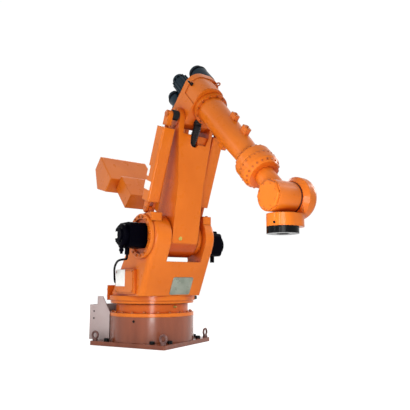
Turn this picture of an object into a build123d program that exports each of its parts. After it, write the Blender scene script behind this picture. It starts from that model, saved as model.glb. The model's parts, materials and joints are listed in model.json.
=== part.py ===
"""Six-axis industrial robot arm on a steel pedestal, with a parallel-link elbow drive and spring balancers.

Every piece is modelled in the arm's home pose: facing +X, lower arm upright, forearm level.
It is then placed by the joint angles of the stored pose. Millimetres, +Z up,
origin at the centre of the pedestal plate's underside, +X towards the front of the pedestal.
The right side of the arm is -Y, the left side +Y.
"""

import math
import os

from build123d import *

# Joint angles of the stored pose, in degrees
TURN = -25.0        # whole arm about the vertical axis
LEAN = 11.5         # lower arm, forwards from upright
DROOP = 46.7        # forearm, nose down from level
ROLL = 0.0          # wrist about the forearm's axis
BEND = 43.3         # tool, nose down from the forearm's axis

# Clearances
SEAT_GAP = 0.3      # between faces of pieces that move past each other on a bearing
PIN_GAP = 0.05      # radial, pin in its eye
MOVE_GAP = 6.0      # between castings that move past each other

# Pedestal
PLATE_SIDE = 700.0
PLATE_T = 32.0
PLATE_CORNER_R = 12.0
ANCHOR_HOLE_R = 13.0
ANCHOR_EDGE = 40.0          # hole centre to the near plate edge
ANCHOR_CORNER = 135.0       # hole centre to the far plate edge
EYE_EDGE = 30.0             # eyebolt centre to both plate edges
EYE_SHANK_R = 10.0
EYE_SHANK_UP = 2.0          # shank's end above the plate's underside
EYE_RING_R = 27.0
EYE_WIRE_R = 8.5
EYE_COLLAR_R = 20.0
EYE_COLLAR_H = 16.0
DRUM_R = 340.0
DRUM_H = 192.0

# Cable box behind the pedestal
BOX_EYE_GAP = 31.0          # panel's outer face to the eyebolt's ring
BOX_REAR_X = -440.0
BOX_PANEL_T = 8.0
BOX_LOW_H = 276.0
BOX_TOP_GAP = 8.0           # panel's top below the turning frame's foot
BOX_STEP_X = -363.0
BOX_CHAMFER_X = -311.0
SOCKET_R = 34.0
SOCKET_L = 26.0
SOCKET_PITCH = 130.0

# Fixed base casting and turntable
BASE_FLANGE_T = 28.0
NECK_R = 292.0
NECK_H = 66.0
BEARING_R = 245.0
TURNTABLE_R = 348.0
TURNTABLE_T = 60.0
TURNTABLE_LIP = 22.0
TURNTABLE_LIP_R = 338.0
LUG_R = 366.0               # stop lug at the turntable's rear right
LUG_H = 80.0
LUG_LEFT_Y = -190.0

# Shoulder axis and turning frame
SHOULDER_X = 370.0
SHOULDER_Z = 825.0
CHEEK_R = 168.0
RIGHT_CHEEK_OUT = 310.0
RIGHT_CHEEK_IN = 161.0
RIGHT_CHEEK_FILLET = 40.0
LEFT_CHEEK_OUT = 235.0
LEFT_CHEEK_IN = 150.0
LEFT_CHEEK_FILLET = 18.0
FRONT_FOOT = 345.0
REAR_FOOT = -150.0
FOOT_H = 14.0
FRONT_WALL_TOP = 640.0
FRONT_WALL_T = 45.0
FLOOR_T = 46.0
CABLE_HOLE_X = 165.0        # long hole in the left cheek
CABLE_HOLE_Z = 662.0
CABLE_HOLE_L = 250.0
CABLE_HOLE_W = 80.0
JUNCTION_REAR_X = -10.0     # junction box on the right cheek
JUNCTION_L = 295.0
JUNCTION_LOW_Z = 400.0
JUNCTION_H = 186.0
JUNCTION_T = 22.0
JUNCTION_CORNER = 14.0

# Shoulder gear flanges and motors
GEAR_R = 167.0
GEAR_T = 28.0
GEAR_EDGE = 5.0
GEAR_DISH_R = 128.0
GEAR_DISH_DEPTH = 16.0
LEFT_GEAR_R = 130.0
LEFT_GEAR_T = 14.0
MOTOR_HALF = 92.0
MOTOR_CORNER = 34.0
LEFT_DRIVE_DROP = 40.0      # left gear and motor below the shoulder axis
SHOULDER_MOTOR_L = 142.0
ELBOW_MOTOR_L = 114.0
MOTOR_CAP_R = 82.0
MOTOR_CAP_L = 40.0
MOTOR_CAP_EDGE = 12.0
MOTOR_END_R = 52.0          # sensor cover on the cap
MOTOR_END_L = 12.0
MOTOR_END_EDGE = 4.0
PLUG_R = 17.0               # cable plug under each motor
PLUG_L = 48.0
PLUG_IN = 26.0              # plug's centre from the motor's outer end
LEAD_R = 8.0                # motor lead from the right plug to the junction box
LEAD_ARC = 0.45             # arc's tangent length as a share of the shorter run
TURN_MOTOR_X = 0.0
TURN_MOTOR_HALF = 75.0
TURN_MOTOR_H = 150.0

# Lower arm
ARM_LENGTH = 905.0          # elbow axis above the shoulder axis
ELBOW_FORWARD = 50.0        # elbow axis ahead of the shoulder axis
ARM_RIGHT = 147.0           # sides of the beam from the turning plane
ARM_LEFT = 87.0
ARM_TOP_RIGHT = 195.0       # sides of the fork
ARM_TOP_LEFT = 116.0
ARM_FLARE_FROM = 420.0      # flare's start above the shoulder axis
ARM_FLARE_TO = 60.0         # flare's end below the elbow axis
ARM_FRONT = 150.0           # front face ahead of the shoulder axis
ARM_BACK = 112.0            # back face behind it
ARM_SKIRT = 22.0            # box below the shoulder axis
ARM_FOOT_CUT = 12.0         # cut-off lower corners
ARM_HUB_R = 148.0
ARM_BOSS_R = 112.0
JOURNAL_R = 50.0
FORK_R = 84.0
SLOT_RIGHT = 148.0          # sides of the fork's slot
SLOT_LEFT = 85.0
FORK_DEPTH = 110.0          # slot floor below the elbow axis
CONDUIT_Y = -41.0           # conduit groove below the fork
CONDUIT_HALF_W = 36.0
CONDUIT_DROP = 55.0
CONDUIT_DEPTH = 90.0
POCKET_DEPTH = 14.0         # shallow pocket beside the groove
POCKET_LOW_Y = 62.0
POCKET_DROP = 65.0
ELBOW_CAP_R = 78.0
ELBOW_CAP_T = 5.0

# Balancers
RIGHT_BALANCER_GAP = 20.0   # housing to the elbow cap
ANCHOR_FORWARD = 15.0       # balancer anchor from the shoulder axis
ANCHOR_UP = 206.0
TOP_PIN_FORWARD = 55.0      # balancer top pin from the elbow axis
TOP_PIN_UP = 9.0
BALANCER_HALF = 52.0
BALANCER_CORNER = 14.0
BALANCER_BORE_R = 45.0
BALANCER_START = 64.0       # housing floor above the anchor
BALANCER_FLOOR_T = 40.0
BALANCER_MOUTH = 14.0       # gap between housing and rod head in the stored pose
BALANCER_ROD_R = 14.0
ROD_END_GAP = 89.0          # rod's end above the bore's floor in the stored pose
ROD_HEAD_HALF = 28.0
ROD_HEAD_HALF_T = 20.0
ROD_HEAD_L = 84.0           # head below the top pin
EAR_R = 27.0
ANCHOR_PIN_R = 14.0
TONGUE_HALF_T = 15.0
EAR_T = 18.0
PAD_REAR = 45.0             # bracket pad behind and ahead of the shoulder axis
PAD_FRONT = 132.0
PAD_HALF_W = 46.0
PAD_UP = 2.0                # pad's flat top above the cheek's round

# Parallel-link drive
CRANK_IN = 106.0            # inner face of the lever from the turning plane
CRANK_T = 34.0
CRANK_HUB_R = 128.0
CRANK_PIN = 300.0           # link pin behind the shoulder axis
CRANK_PIN_BOSS_R = 46.0
LEVER_ROOT_R = 60.0
LEVER_END_R = 60.0
LINK_PIN_R = 20.0
LINK_EYE_R = 38.0
LINK_HALF_W = 25.0
LINK_T = 38.0
LINK_LUG_T = 38.0

# Counterweight, measured behind and below the shoulder axis with the forearm level
WEIGHT_FRONT = 900.0
WEIGHT_REAR = 1240.0
WEIGHT_TOP = 130.0
WEIGHT_SIDE_DROP = 150.0
WEIGHT_KEEL = 1060.0
WEIGHT_KEEL_DROP = 245.0
WEIGHT_HALF_W = 238.0
WEIGHT_EDGE_R = 9.0
WEIGHT_NECK_FRONT = 635.0
WEIGHT_NECK_TOP = 90.0
WEIGHT_NECK_LOW = 236.0
WEIGHT_NECK_HALF_W = 150.0

# Forearm, measured from the elbow axis
FOREARM_RISE = 179.0
CASE_REAR = 140.0
CASE_FRONT = 80.0
CASE_RIGHT = 142.0
CASE_LEFT = 84.0
CASE_LOW = 95.0
CASE_HIGH = 328.0
CASE_TOP_R = 95.0           # rounding of the upper long edges
CASE_LOW_R = 24.0
MOTOR_PLATE_T = 58.0        # wider plate at the rear, which carries the motors
MOTOR_PLATE_RIGHT = 148.0
MOTOR_PLATE_LEFT = 126.0
MOTOR_PLATE_HIGH = 335.0
MOTOR_PLATE_R = 105.0
ELBOW_HUB_R = 66.0
HUB_BACK = 140.0            # hub block's reach behind the elbow axis
HUB_LOW = 8.0
COLLAR_R = 128.0
COLLAR_T = 34.0
TUBE_ROOT_R = 106.0
TUBE_TIP_R = 80.0
TUBE_LUG_L = 62.0
TUBE_LUG_HALF_W = 18.0
TUBE_LUG_UP = 24.0          # lug's face outside the tube's root radius
FRONT_LUG_BACK = 211.0      # lugs, behind the tube's end
REAR_LUG_BACK = 379.0
LOWER_LUG_BACK = 343.0
RING_R = 128.0
RING_T = 92.0
RING_CONE = 34.0
RING_NECK_R = 104.0
TOP_MOTOR_Y = 40.0          # wrist motors: place on the rear face, radius and length
TOP_MOTOR_UP = 265.0
TOP_MOTOR_R = 70.0
TOP_MOTOR_L = 170.0
FINNED_MOTOR_Y = -90.0
FINNED_MOTOR_UP = 175.0
FINNED_MOTOR_R = 60.0
FINNED_MOTOR_L = 150.0
FIN_COUNT = 14
FIN_T = 7.0
FIN_UP = 7.0
LOW_MOTOR_Y = -86.0
LOW_MOTOR_UP = 46.0
LOW_MOTOR_R = 57.0
LOW_MOTOR_L = 120.0
REAR_CAP_IN = 10.0          # motor cap's radius below the motor's
REAR_CAP_L = 44.0
REAR_CAP_EDGE = 9.0

# Wrist
WRIST_REACH = 1137.0        # elbow axis to bend axis along the forearm
NECK_ROOT_R = 66.0
WRIST_NECK_L = 221.7        # roll ring to bend axis
BEND_R = 98.0
BEND_RIGHT = 110.0
BEND_LEFT = 76.0
BEND_CAP_T = 14.0
BEND_CAP_SIDES = 8
BEND_CAP_TAPER = 35.0
DOME_ROOT_R = 104.0
DOME_R = 134.0
DOME_CONE = 26.0
DOME_RIM = 40.0
DOME_OUT = 188.0
DOME_FACE_R = 92.0
HOUSE_R = 98.0
HOUSE_SHIFT = 46.0          # left end's centre of the housing's long-hole section
TOOL_PLATE_T = 78.0
FLANGE_R = 98.0
FLANGE_T = 42.0
PILOT_R = 40.0
PILOT_DEPTH = 12.0
TOOL_PCD = 125.0
TOOL_BOLTS = 6
TOOL_BOLT_R = 5.0
TOOL_BOLT_DEPTH = 20.0

# Derived heights and axes
DRUM_TOP = PLATE_T + DRUM_H
NECK_TOP = DRUM_TOP + BASE_FLANGE_T + NECK_H
TURNTABLE_Z = NECK_TOP + MOVE_GAP
FLOOR_Z = TURNTABLE_Z + TURNTABLE_T
ELBOW_X = SHOULDER_X + ELBOW_FORWARD
ELBOW_Z = SHOULDER_Z + ARM_LENGTH
FOREARM_Z = ELBOW_Z + FOREARM_RISE
WRIST_X = ELBOW_X + WRIST_REACH
PIN_X = SHOULDER_X - CRANK_PIN
TUBE_END = WRIST_REACH - WRIST_NECK_L - SEAT_GAP - 2 * RING_T


def swing(x, z, angle):
    """Rotation about the cross axis through (x, z), nose down for a positive angle."""
    return Location((x, 0, z)) * Location((0, 0, 0), (0, angle, 0)) * Location((-x, 0, -z))


# Placement of each moving body in the stored pose
on_base = Location()
on_frame = Location((0, 0, 0), (0, 0, TURN))
on_arm = on_frame * swing(SHOULDER_X, SHOULDER_Z, LEAN)
on_crank = on_frame * swing(SHOULDER_X, SHOULDER_Z, DROOP)
on_link = on_crank * swing(PIN_X, SHOULDER_Z, LEAN - DROOP)
on_forearm = on_arm * swing(ELBOW_X, ELBOW_Z, DROOP - LEAN)
on_roll = on_forearm * Location((0, 0, FOREARM_Z), (ROLL, 0, 0)) * Location((0, 0, -FOREARM_Z))
on_tool = on_roll * swing(WRIST_X, FOREARM_Z, BEND)

# Balancer line in the arm's plane: anchor on the frame, top pin carried by the leaning arm
anchor_x = SHOULDER_X + ANCHOR_FORWARD
anchor_z = SHOULDER_Z + ANCHOR_UP
home_pin = Location((ELBOW_X + TOP_PIN_FORWARD, 0, ELBOW_Z + TOP_PIN_UP))
top_pin = swing(SHOULDER_X, SHOULDER_Z, LEAN) * home_pin
pin_x = top_pin.position.X
pin_z = top_pin.position.Z
pin_distance = math.hypot(pin_x - anchor_x, pin_z - anchor_z)
balancer_tilt = math.degrees(math.atan2(pin_x - anchor_x, pin_z - anchor_z))
balancer_l = pin_distance - BALANCER_START - ROD_HEAD_L - BALANCER_MOUTH
rod_in = balancer_l - BALANCER_FLOOR_T - ROD_END_GAP
balancer_right = ARM_TOP_RIGHT + ELBOW_CAP_T + RIGHT_BALANCER_GAP + BALANCER_HALF
balancer_left = ARM_TOP_LEFT + ELBOW_CAP_T + MOVE_GAP + BALANCER_HALF
on_housing = on_frame * Location((anchor_x, 0, anchor_z), (0, balancer_tilt, 0))
on_rod = on_frame * Location((pin_x, 0, pin_z), (0, balancer_tilt, 0))


def save(piece, name, place):
    """Writes one finished piece at its place in the stored pose."""
    posed = piece.moved(place)
    posed.label = name
    export_step(posed, f"parts/{name}.step")


os.makedirs("parts", exist_ok=True)
SIDES = (("right", -1), ("left", 1))

# Pedestal plate with its anchor and eyebolt holes
plate_half = PLATE_SIDE / 2
anchor_a = plate_half - ANCHOR_EDGE
anchor_b = plate_half - ANCHOR_CORNER
eye_xy = plate_half - EYE_EDGE
with BuildPart() as base_plate:
    with BuildSketch():
        RectangleRounded(PLATE_SIDE, PLATE_SIDE, PLATE_CORNER_R)
        with GridLocations(2 * anchor_a, 2 * anchor_b, 2, 2):
            Circle(ANCHOR_HOLE_R, mode=Mode.SUBTRACT)
        with GridLocations(2 * anchor_b, 2 * anchor_a, 2, 2):
            Circle(ANCHOR_HOLE_R, mode=Mode.SUBTRACT)
        with GridLocations(2 * eye_xy, 2 * eye_xy, 2, 2):
            Circle(EYE_SHANK_R + SEAT_GAP, mode=Mode.SUBTRACT)
    extrude(amount=PLATE_T)
save(base_plate.part, "base_plate", on_base)

# Four eyebolts, one at each corner of the plate: rings face sideways on the right, forwards on the left
ring_z = PLATE_T + EYE_COLLAR_H + EYE_RING_R
with BuildPart() as eyebolts:
    with BuildSketch(Plane.XY.offset(EYE_SHANK_UP)):
        with GridLocations(2 * eye_xy, 2 * eye_xy, 2, 2):
            Circle(EYE_SHANK_R)
    extrude(amount=PLATE_T - EYE_SHANK_UP)
    with BuildSketch(Plane.XY.offset(PLATE_T)):
        with GridLocations(2 * eye_xy, 2 * eye_xy, 2, 2):
            Circle(EYE_COLLAR_R)
    extrude(amount=EYE_COLLAR_H)
    for column in (-1, 1):
        with Locations(Location((column * eye_xy, -eye_xy, ring_z), (90, 0, 0))):
            Torus(EYE_RING_R, EYE_WIRE_R)
        with Locations(Location((column * eye_xy, eye_xy, ring_z), (0, 90, 0))):
            Torus(EYE_RING_R, EYE_WIRE_R)
save(eyebolts.part, "lifting_eyebolts", on_base)

# Pedestal drum
with BuildPart() as drum:
    with BuildSketch(Plane.XY.offset(PLATE_T)):
        Circle(DRUM_R)
    extrude(amount=DRUM_H)
save(drum.part, "pedestal_drum", on_base)

# Cable box: two stepped side panels welded to the drum and a connector panel between them
box_top = FLOOR_Z - BOX_TOP_GAP
box_half_w = eye_xy - EYE_RING_R - EYE_WIRE_R - BOX_EYE_GAP
panel_front = -math.sqrt((DRUM_R + SEAT_GAP) ** 2 - (box_half_w - BOX_PANEL_T) ** 2)
for side, sign in SIDES:
    with BuildPart() as panel:
        with BuildSketch(Plane.XZ.offset(-sign * box_half_w)):
            with BuildLine():
                Polyline(
                    (BOX_REAR_X, PLATE_T),
                    (BOX_REAR_X, PLATE_T + BOX_LOW_H),
                    (BOX_STEP_X, PLATE_T + BOX_LOW_H),
                    (BOX_STEP_X, box_top),
                    (BOX_CHAMFER_X, box_top),
                    (panel_front, DRUM_TOP + BASE_FLANGE_T),
                    (panel_front, PLATE_T),
                    close=True,
                )
            make_face()
        extrude(amount=sign * BOX_PANEL_T)
    save(panel.part, f"cable_box_{side}_panel", on_base)

with BuildPart() as connector_panel:
    with BuildSketch(Plane.YZ.offset(BOX_REAR_X + BOX_PANEL_T)):
        with Locations((0, PLATE_T + BOX_LOW_H / 2)):
            Rectangle(2 * (box_half_w - BOX_PANEL_T), BOX_LOW_H)
    extrude(amount=BOX_PANEL_T)
save(connector_panel.part, "connector_panel", on_base)

with BuildPart() as sockets:
    with BuildSketch(Plane.YZ.offset(BOX_REAR_X + BOX_PANEL_T)):
        with Locations((0, PLATE_T + BOX_LOW_H / 2)):
            with GridLocations(SOCKET_PITCH, 0, 3, 1):
                Circle(SOCKET_R)
    extrude(amount=-SOCKET_L)
save(sockets.part, "connector_sockets", on_base)

# Fixed base casting: bolting flange, neck and bearing seat
with BuildPart() as base_casting:
    with BuildSketch(Plane.XZ):
        with BuildLine():
            Polyline(
                (0, DRUM_TOP),
                (DRUM_R, DRUM_TOP),
                (DRUM_R, DRUM_TOP + BASE_FLANGE_T),
                (NECK_R, DRUM_TOP + BASE_FLANGE_T),
                (NECK_R, NECK_TOP),
                (BEARING_R, NECK_TOP),
                (BEARING_R, TURNTABLE_Z - SEAT_GAP),
                (0, TURNTABLE_Z - SEAT_GAP),
                close=True,
            )
        make_face()
    revolve(axis=Axis.Z)
save(base_casting.part, "base_casting", on_base)

# Turntable ring, with the stop lug behind the frame
lug_front = REAR_FOOT - SEAT_GAP
with BuildPart() as turntable:
    with BuildSketch(Plane.XZ):
        with BuildLine():
            Polyline(
                (0, TURNTABLE_Z),
                (TURNTABLE_LIP_R, TURNTABLE_Z),
                (TURNTABLE_LIP_R, TURNTABLE_Z + TURNTABLE_LIP),
                (TURNTABLE_R, TURNTABLE_Z + TURNTABLE_LIP),
                (TURNTABLE_R, FLOOR_Z),
                (0, FLOOR_Z),
                close=True,
            )
        make_face()
    revolve(axis=Axis.Z)
    with BuildSketch(Plane.XY.offset(TURNTABLE_Z + TURNTABLE_LIP)):
        Circle(LUG_R)
        with Locations((lug_front - LUG_R / 2, LUG_LEFT_Y - LUG_R / 2)):
            Rectangle(LUG_R, LUG_R, mode=Mode.INTERSECT)
    extrude(amount=TURNTABLE_T - TURNTABLE_LIP + LUG_H)
save(turntable.part, "turntable", on_frame)

# Turning frame: two cheeks, a sloping front wall and a floor, open to the rear
wall_slope = math.atan2(SHOULDER_X + CHEEK_R - FRONT_FOOT, SHOULDER_Z - FLOOR_Z - FOOT_H)
wall_in = FRONT_WALL_T / math.cos(wall_slope)
slot_floor = FLOOR_Z + FLOOR_T
slot_front_low = FRONT_FOOT - wall_in
slot_front_high = slot_front_low + (FRONT_WALL_TOP - slot_floor) * math.tan(wall_slope)
with BuildPart() as swivel_frame:
    with BuildSketch(Plane.XZ.offset(RIGHT_CHEEK_OUT)):
        with Locations((SHOULDER_X, SHOULDER_Z)):
            Circle(CHEEK_R)
        with Locations(((FRONT_FOOT + REAR_FOOT) / 2, FLOOR_Z + FOOT_H / 2)):
            Rectangle(FRONT_FOOT - REAR_FOOT, FOOT_H)
        make_hull()
    extrude(amount=-(RIGHT_CHEEK_OUT + LEFT_CHEEK_OUT))
    cheek_faces = swivel_frame.faces().filter_by(Axis.Y).sort_by(Axis.Y)
    fillet(cheek_faces[0].edges().filter_by(lambda e: e.center().Z > FLOOR_Z + SEAT_GAP), RIGHT_CHEEK_FILLET)
    cheek_faces = swivel_frame.faces().filter_by(Axis.Y).sort_by(Axis.Y)
    fillet(cheek_faces[-1].edges().filter_by(lambda e: e.center().Z > FLOOR_Z + SEAT_GAP), LEFT_CHEEK_FILLET)
    with BuildSketch(Plane.XZ.offset(RIGHT_CHEEK_IN)):
        with BuildLine():
            Polyline(
                (-TURNTABLE_R, slot_floor),
                (slot_front_low, slot_floor),
                (slot_front_high, FRONT_WALL_TOP),
                (SHOULDER_X + 2 * CHEEK_R, FRONT_WALL_TOP),
                (SHOULDER_X + 2 * CHEEK_R, SHOULDER_Z + 2 * CHEEK_R),
                (-TURNTABLE_R, SHOULDER_Z + 2 * CHEEK_R),
                close=True,
            )
        make_face()
    extrude(amount=-(RIGHT_CHEEK_IN + LEFT_CHEEK_IN), mode=Mode.SUBTRACT)
    with BuildSketch(Plane.XZ.offset(-LEFT_CHEEK_IN)):
        with Locations((CABLE_HOLE_X, CABLE_HOLE_Z)):
            SlotOverall(CABLE_HOLE_L, CABLE_HOLE_W)
    extrude(amount=-LEFT_CHEEK_OUT, mode=Mode.SUBTRACT)
save(swivel_frame.part, "swivel_frame", on_frame)

# Junction box on the right cheek
with BuildPart() as junction_box:
    with BuildSketch(Plane.XZ.offset(RIGHT_CHEEK_OUT)):
        with Locations((JUNCTION_REAR_X + JUNCTION_L / 2, JUNCTION_LOW_Z + JUNCTION_H / 2)):
            RectangleRounded(JUNCTION_L, JUNCTION_H, JUNCTION_CORNER)
    extrude(amount=JUNCTION_T)
save(junction_box.part, "junction_box", on_frame)

# Shoulder gear flanges and their motors, one on each cheek
right_gear = (GEAR_R, GEAR_T, GEAR_DISH_R, GEAR_DISH_DEPTH)
left_gear = (LEFT_GEAR_R, LEFT_GEAR_T, 0, 0)
drives = (
    ("right", -1, RIGHT_CHEEK_OUT, SHOULDER_Z, right_gear, "shoulder_motor", SHOULDER_MOTOR_L),
    ("left", 1, LEFT_CHEEK_OUT, SHOULDER_Z - LEFT_DRIVE_DROP, left_gear, "elbow_motor", ELBOW_MOTOR_L),
)
for side, sign, cheek, drive_z, gear, motor_name, motor_l in drives:
    gear_r, gear_t, dish_r, dish_depth = gear
    outward = Plane(origin=(SHOULDER_X, sign * cheek, drive_z), x_dir=(1, 0, 0), z_dir=(0, sign, 0))
    with BuildPart() as gear_flange:
        with BuildSketch(outward):
            Circle(gear_r)
        extrude(amount=gear_t)
        rims = gear_flange.edges().filter_by(GeomType.CIRCLE).sort_by(Axis((0, 0, 0), (0, sign, 0)))
        chamfer(rims[-1], GEAR_EDGE)
        if dish_depth > 0:
            with BuildSketch(outward.offset(gear_t)):
                Circle(dish_r)
            extrude(amount=-dish_depth, mode=Mode.SUBTRACT)
    save(gear_flange.part, f"{side}_gear_flange", on_frame)

    motor_face = outward.offset(gear_t - dish_depth)
    with BuildPart() as motor:
        with BuildSketch(motor_face):
            RectangleRounded(2 * MOTOR_HALF, 2 * MOTOR_HALF, MOTOR_CORNER)
        extrude(amount=motor_l)
        plug_y = motor_face.origin.Y + sign * (motor_l - PLUG_IN)
        with BuildSketch(Plane.XY.offset(drive_z - MOTOR_HALF)):
            with Locations((SHOULDER_X, plug_y)):
                Circle(PLUG_R)
        extrude(amount=-PLUG_L)
    save(motor.part, motor_name, on_frame)

    with BuildPart() as motor_cap:
        with BuildSketch(motor_face.offset(motor_l)):
            Circle(MOTOR_CAP_R)
        extrude(amount=MOTOR_CAP_L)
        rims = motor_cap.edges().filter_by(GeomType.CIRCLE).sort_by(Axis((0, 0, 0), (0, sign, 0)))
        chamfer(rims[-1], MOTOR_CAP_EDGE)
        with BuildSketch(motor_face.offset(motor_l + MOTOR_CAP_L)):
            Circle(MOTOR_END_R)
        extrude(amount=MOTOR_END_L)
        rims = motor_cap.edges().filter_by(GeomType.CIRCLE).sort_by(Axis((0, 0, 0), (0, sign, 0)))
        chamfer(rims[-1], MOTOR_END_EDGE)
    save(motor_cap.part, f"{motor_name}_cap", on_frame)

# Motor lead: leaves the right plug downwards, runs back and enters the junction box at its rear end
lead_y = -(RIGHT_CHEEK_OUT + GEAR_T - GEAR_DISH_DEPTH + SHOULDER_MOTOR_L - PLUG_IN)
lead_z = SHOULDER_Z - MOTOR_HALF - PLUG_L
box_mid_y = -(RIGHT_CHEEK_OUT + JUNCTION_T / 2)
lead_route = [
    Vector(SHOULDER_X, lead_y, lead_z),
    Vector(SHOULDER_X, lead_y, lead_z - 32),
    Vector(SHOULDER_X - 116, lead_y - 10, lead_z - 36),
    Vector(153, -420, 620),
    Vector(60, -382, 588),
    Vector(-24, -338, 556),
    Vector(-48, box_mid_y - 3, 515),
    Vector(-42, box_mid_y, 484),
    Vector(JUNCTION_REAR_X, box_mid_y, 484),
]
lead_arcs = []
for before, here, after in zip(lead_route, lead_route[1:], lead_route[2:]):
    half_turn = math.radians((here - before).get_angle(after - here) / 2)
    shorter = min((here - before).length, (after - here).length)
    lead_arcs.append(LEAD_ARC * shorter / math.tan(half_turn))
with BuildPart() as motor_lead:
    with BuildLine() as lead_line:
        FilletPolyline(*lead_route, radius=lead_arcs)
    with BuildSketch(Plane(origin=lead_line.line @ 0, z_dir=lead_line.line % 0)):
        Circle(LEAD_R)
    sweep(path=lead_line.line)
save(motor_lead.part, "motor_lead", on_frame)

# Turning motor on the floor between the cheeks
with BuildPart() as turn_motor:
    with BuildSketch(Plane.XY.offset(slot_floor)):
        with Locations((TURN_MOTOR_X, 0)):
            RectangleRounded(2 * TURN_MOTOR_HALF, 2 * TURN_MOTOR_HALF, MOTOR_CORNER)
    extrude(amount=TURN_MOTOR_H)
save(turn_motor.part, "turning_motor", on_frame)

# Balancer brackets on the cheek tops: a pad that saddles the cheek, a tongue and the anchor pin
pad_top = SHOULDER_Z + CHEEK_R + PAD_UP
brackets = (("right", -1, balancer_right, RIGHT_CHEEK_IN), ("left", 1, balancer_left, LEFT_CHEEK_IN))
for side, sign, off, cheek_in in brackets:
    middle = sign * off
    pad_in = max(off - PAD_HALF_W, cheek_in)
    with BuildPart() as bracket:
        with BuildSketch(Plane.XZ.offset(-sign * pad_in)):
            with Locations((SHOULDER_X + (PAD_FRONT - PAD_REAR) / 2, (pad_top + SHOULDER_Z) / 2)):
                Rectangle(PAD_FRONT + PAD_REAR, pad_top - SHOULDER_Z)
            with Locations((SHOULDER_X, SHOULDER_Z)):
                Circle(CHEEK_R, mode=Mode.SUBTRACT)
                Rectangle(2 * CHEEK_R, CHEEK_R, mode=Mode.SUBTRACT)
        extrude(amount=-sign * (off + PAD_HALF_W - pad_in))
        with BuildSketch(Plane.XZ.offset(-middle)):
            with Locations((anchor_x, anchor_z)):
                Circle(EAR_R)
            with Locations((anchor_x, pad_top)):
                Rectangle(2 * EAR_R, 2 * PAD_UP)
            make_hull()
            with Locations((SHOULDER_X, SHOULDER_Z)):
                Circle(CHEEK_R, mode=Mode.SUBTRACT)
        extrude(amount=TONGUE_HALF_T, both=True)
        with BuildSketch(Plane.XZ.offset(-middle)):
            with Locations((anchor_x, anchor_z)):
                Circle(ANCHOR_PIN_R)
        extrude(amount=TONGUE_HALF_T + EAR_T, both=True)
    save(bracket.part, f"{side}_balancer_bracket", on_frame)

# Lower arm: tapered box beam with a shoulder hub, an elbow fork and a conduit groove
slot_z = ELBOW_Z - FORK_DEPTH
flare_top = ELBOW_Z - ARM_FLARE_TO
foot_z = SHOULDER_Z - ARM_SKIRT
prong_top = ELBOW_Z + FORK_R
groove_z = slot_z - CONDUIT_DROP
with BuildPart() as lower_arm:
    with BuildSketch(Plane.XZ.offset(ARM_TOP_RIGHT)):
        with Locations((ELBOW_X, ELBOW_Z)):
            Circle(FORK_R)
        with Locations((SHOULDER_X + (ARM_FRONT - ARM_BACK) / 2, SHOULDER_Z)):
            Rectangle(ARM_FRONT + ARM_BACK, 2 * ARM_SKIRT)
        make_hull()
    extrude(amount=-(ARM_TOP_RIGHT + ARM_TOP_LEFT))
    with BuildSketch(Plane.YZ):
        with BuildLine():
            Polyline(
                (ARM_LEFT - ARM_FOOT_CUT, foot_z),
                (ARM_LEFT, foot_z + ARM_FOOT_CUT),
                (ARM_LEFT, SHOULDER_Z + ARM_FLARE_FROM),
                (ARM_TOP_LEFT, flare_top),
                (ARM_TOP_LEFT, prong_top),
                (-ARM_TOP_RIGHT, prong_top),
                (-ARM_TOP_RIGHT, flare_top),
                (-ARM_RIGHT, SHOULDER_Z + ARM_FLARE_FROM),
                (-ARM_RIGHT, foot_z + ARM_FOOT_CUT),
                (ARM_FOOT_CUT - ARM_RIGHT, foot_z),
                close=True,
            )
        make_face()
    extrude(amount=SHOULDER_X + 2 * ARM_FRONT, both=True, mode=Mode.INTERSECT)
    with BuildSketch(Plane.XZ.offset(ARM_RIGHT)):
        with Locations((SHOULDER_X, SHOULDER_Z)):
            Circle(ARM_HUB_R)
    extrude(amount=-(ARM_RIGHT + ARM_LEFT))
    with BuildSketch(Plane.XZ.offset(ARM_RIGHT)):
        with Locations((SHOULDER_X, SHOULDER_Z)):
            Circle(ARM_BOSS_R)
    extrude(amount=RIGHT_CHEEK_IN - SEAT_GAP - ARM_RIGHT)
    with BuildSketch(Plane.XZ.offset(-ARM_LEFT)):
        with Locations((SHOULDER_X, SHOULDER_Z)):
            Circle(JOURNAL_R)
    extrude(amount=-(LEFT_CHEEK_IN - SEAT_GAP - ARM_LEFT))
    with BuildSketch(Plane.XZ.offset(SLOT_RIGHT)):
        with Locations((ELBOW_X, slot_z + (prong_top - slot_z) / 2)):
            Rectangle(4 * FORK_R, prong_top - slot_z)
    extrude(amount=-(SLOT_RIGHT + SLOT_LEFT), mode=Mode.SUBTRACT)
    groove_front = Plane.YZ.offset(SHOULDER_X + ARM_FRONT)
    with BuildSketch(groove_front):
        with Locations((CONDUIT_Y, groove_z)):
            Circle(CONDUIT_HALF_W)
        with Locations((CONDUIT_Y, (groove_z + slot_z) / 2)):
            Rectangle(2 * CONDUIT_HALF_W, slot_z - groove_z)
    extrude(amount=-CONDUIT_DEPTH, mode=Mode.SUBTRACT)
    with BuildSketch(groove_front):
        with BuildLine():
            Polyline(
                (CONDUIT_Y, slot_z),
                (CONDUIT_Y, slot_z - POCKET_DROP),
                (POCKET_LOW_Y, slot_z - POCKET_DROP),
                (SLOT_LEFT, slot_z),
                close=True,
            )
        make_face()
    extrude(amount=-(POCKET_DEPTH + ARM_FRONT - ELBOW_FORWARD - FORK_R), mode=Mode.SUBTRACT)
save(lower_arm.part, "lower_arm", on_arm)

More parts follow.
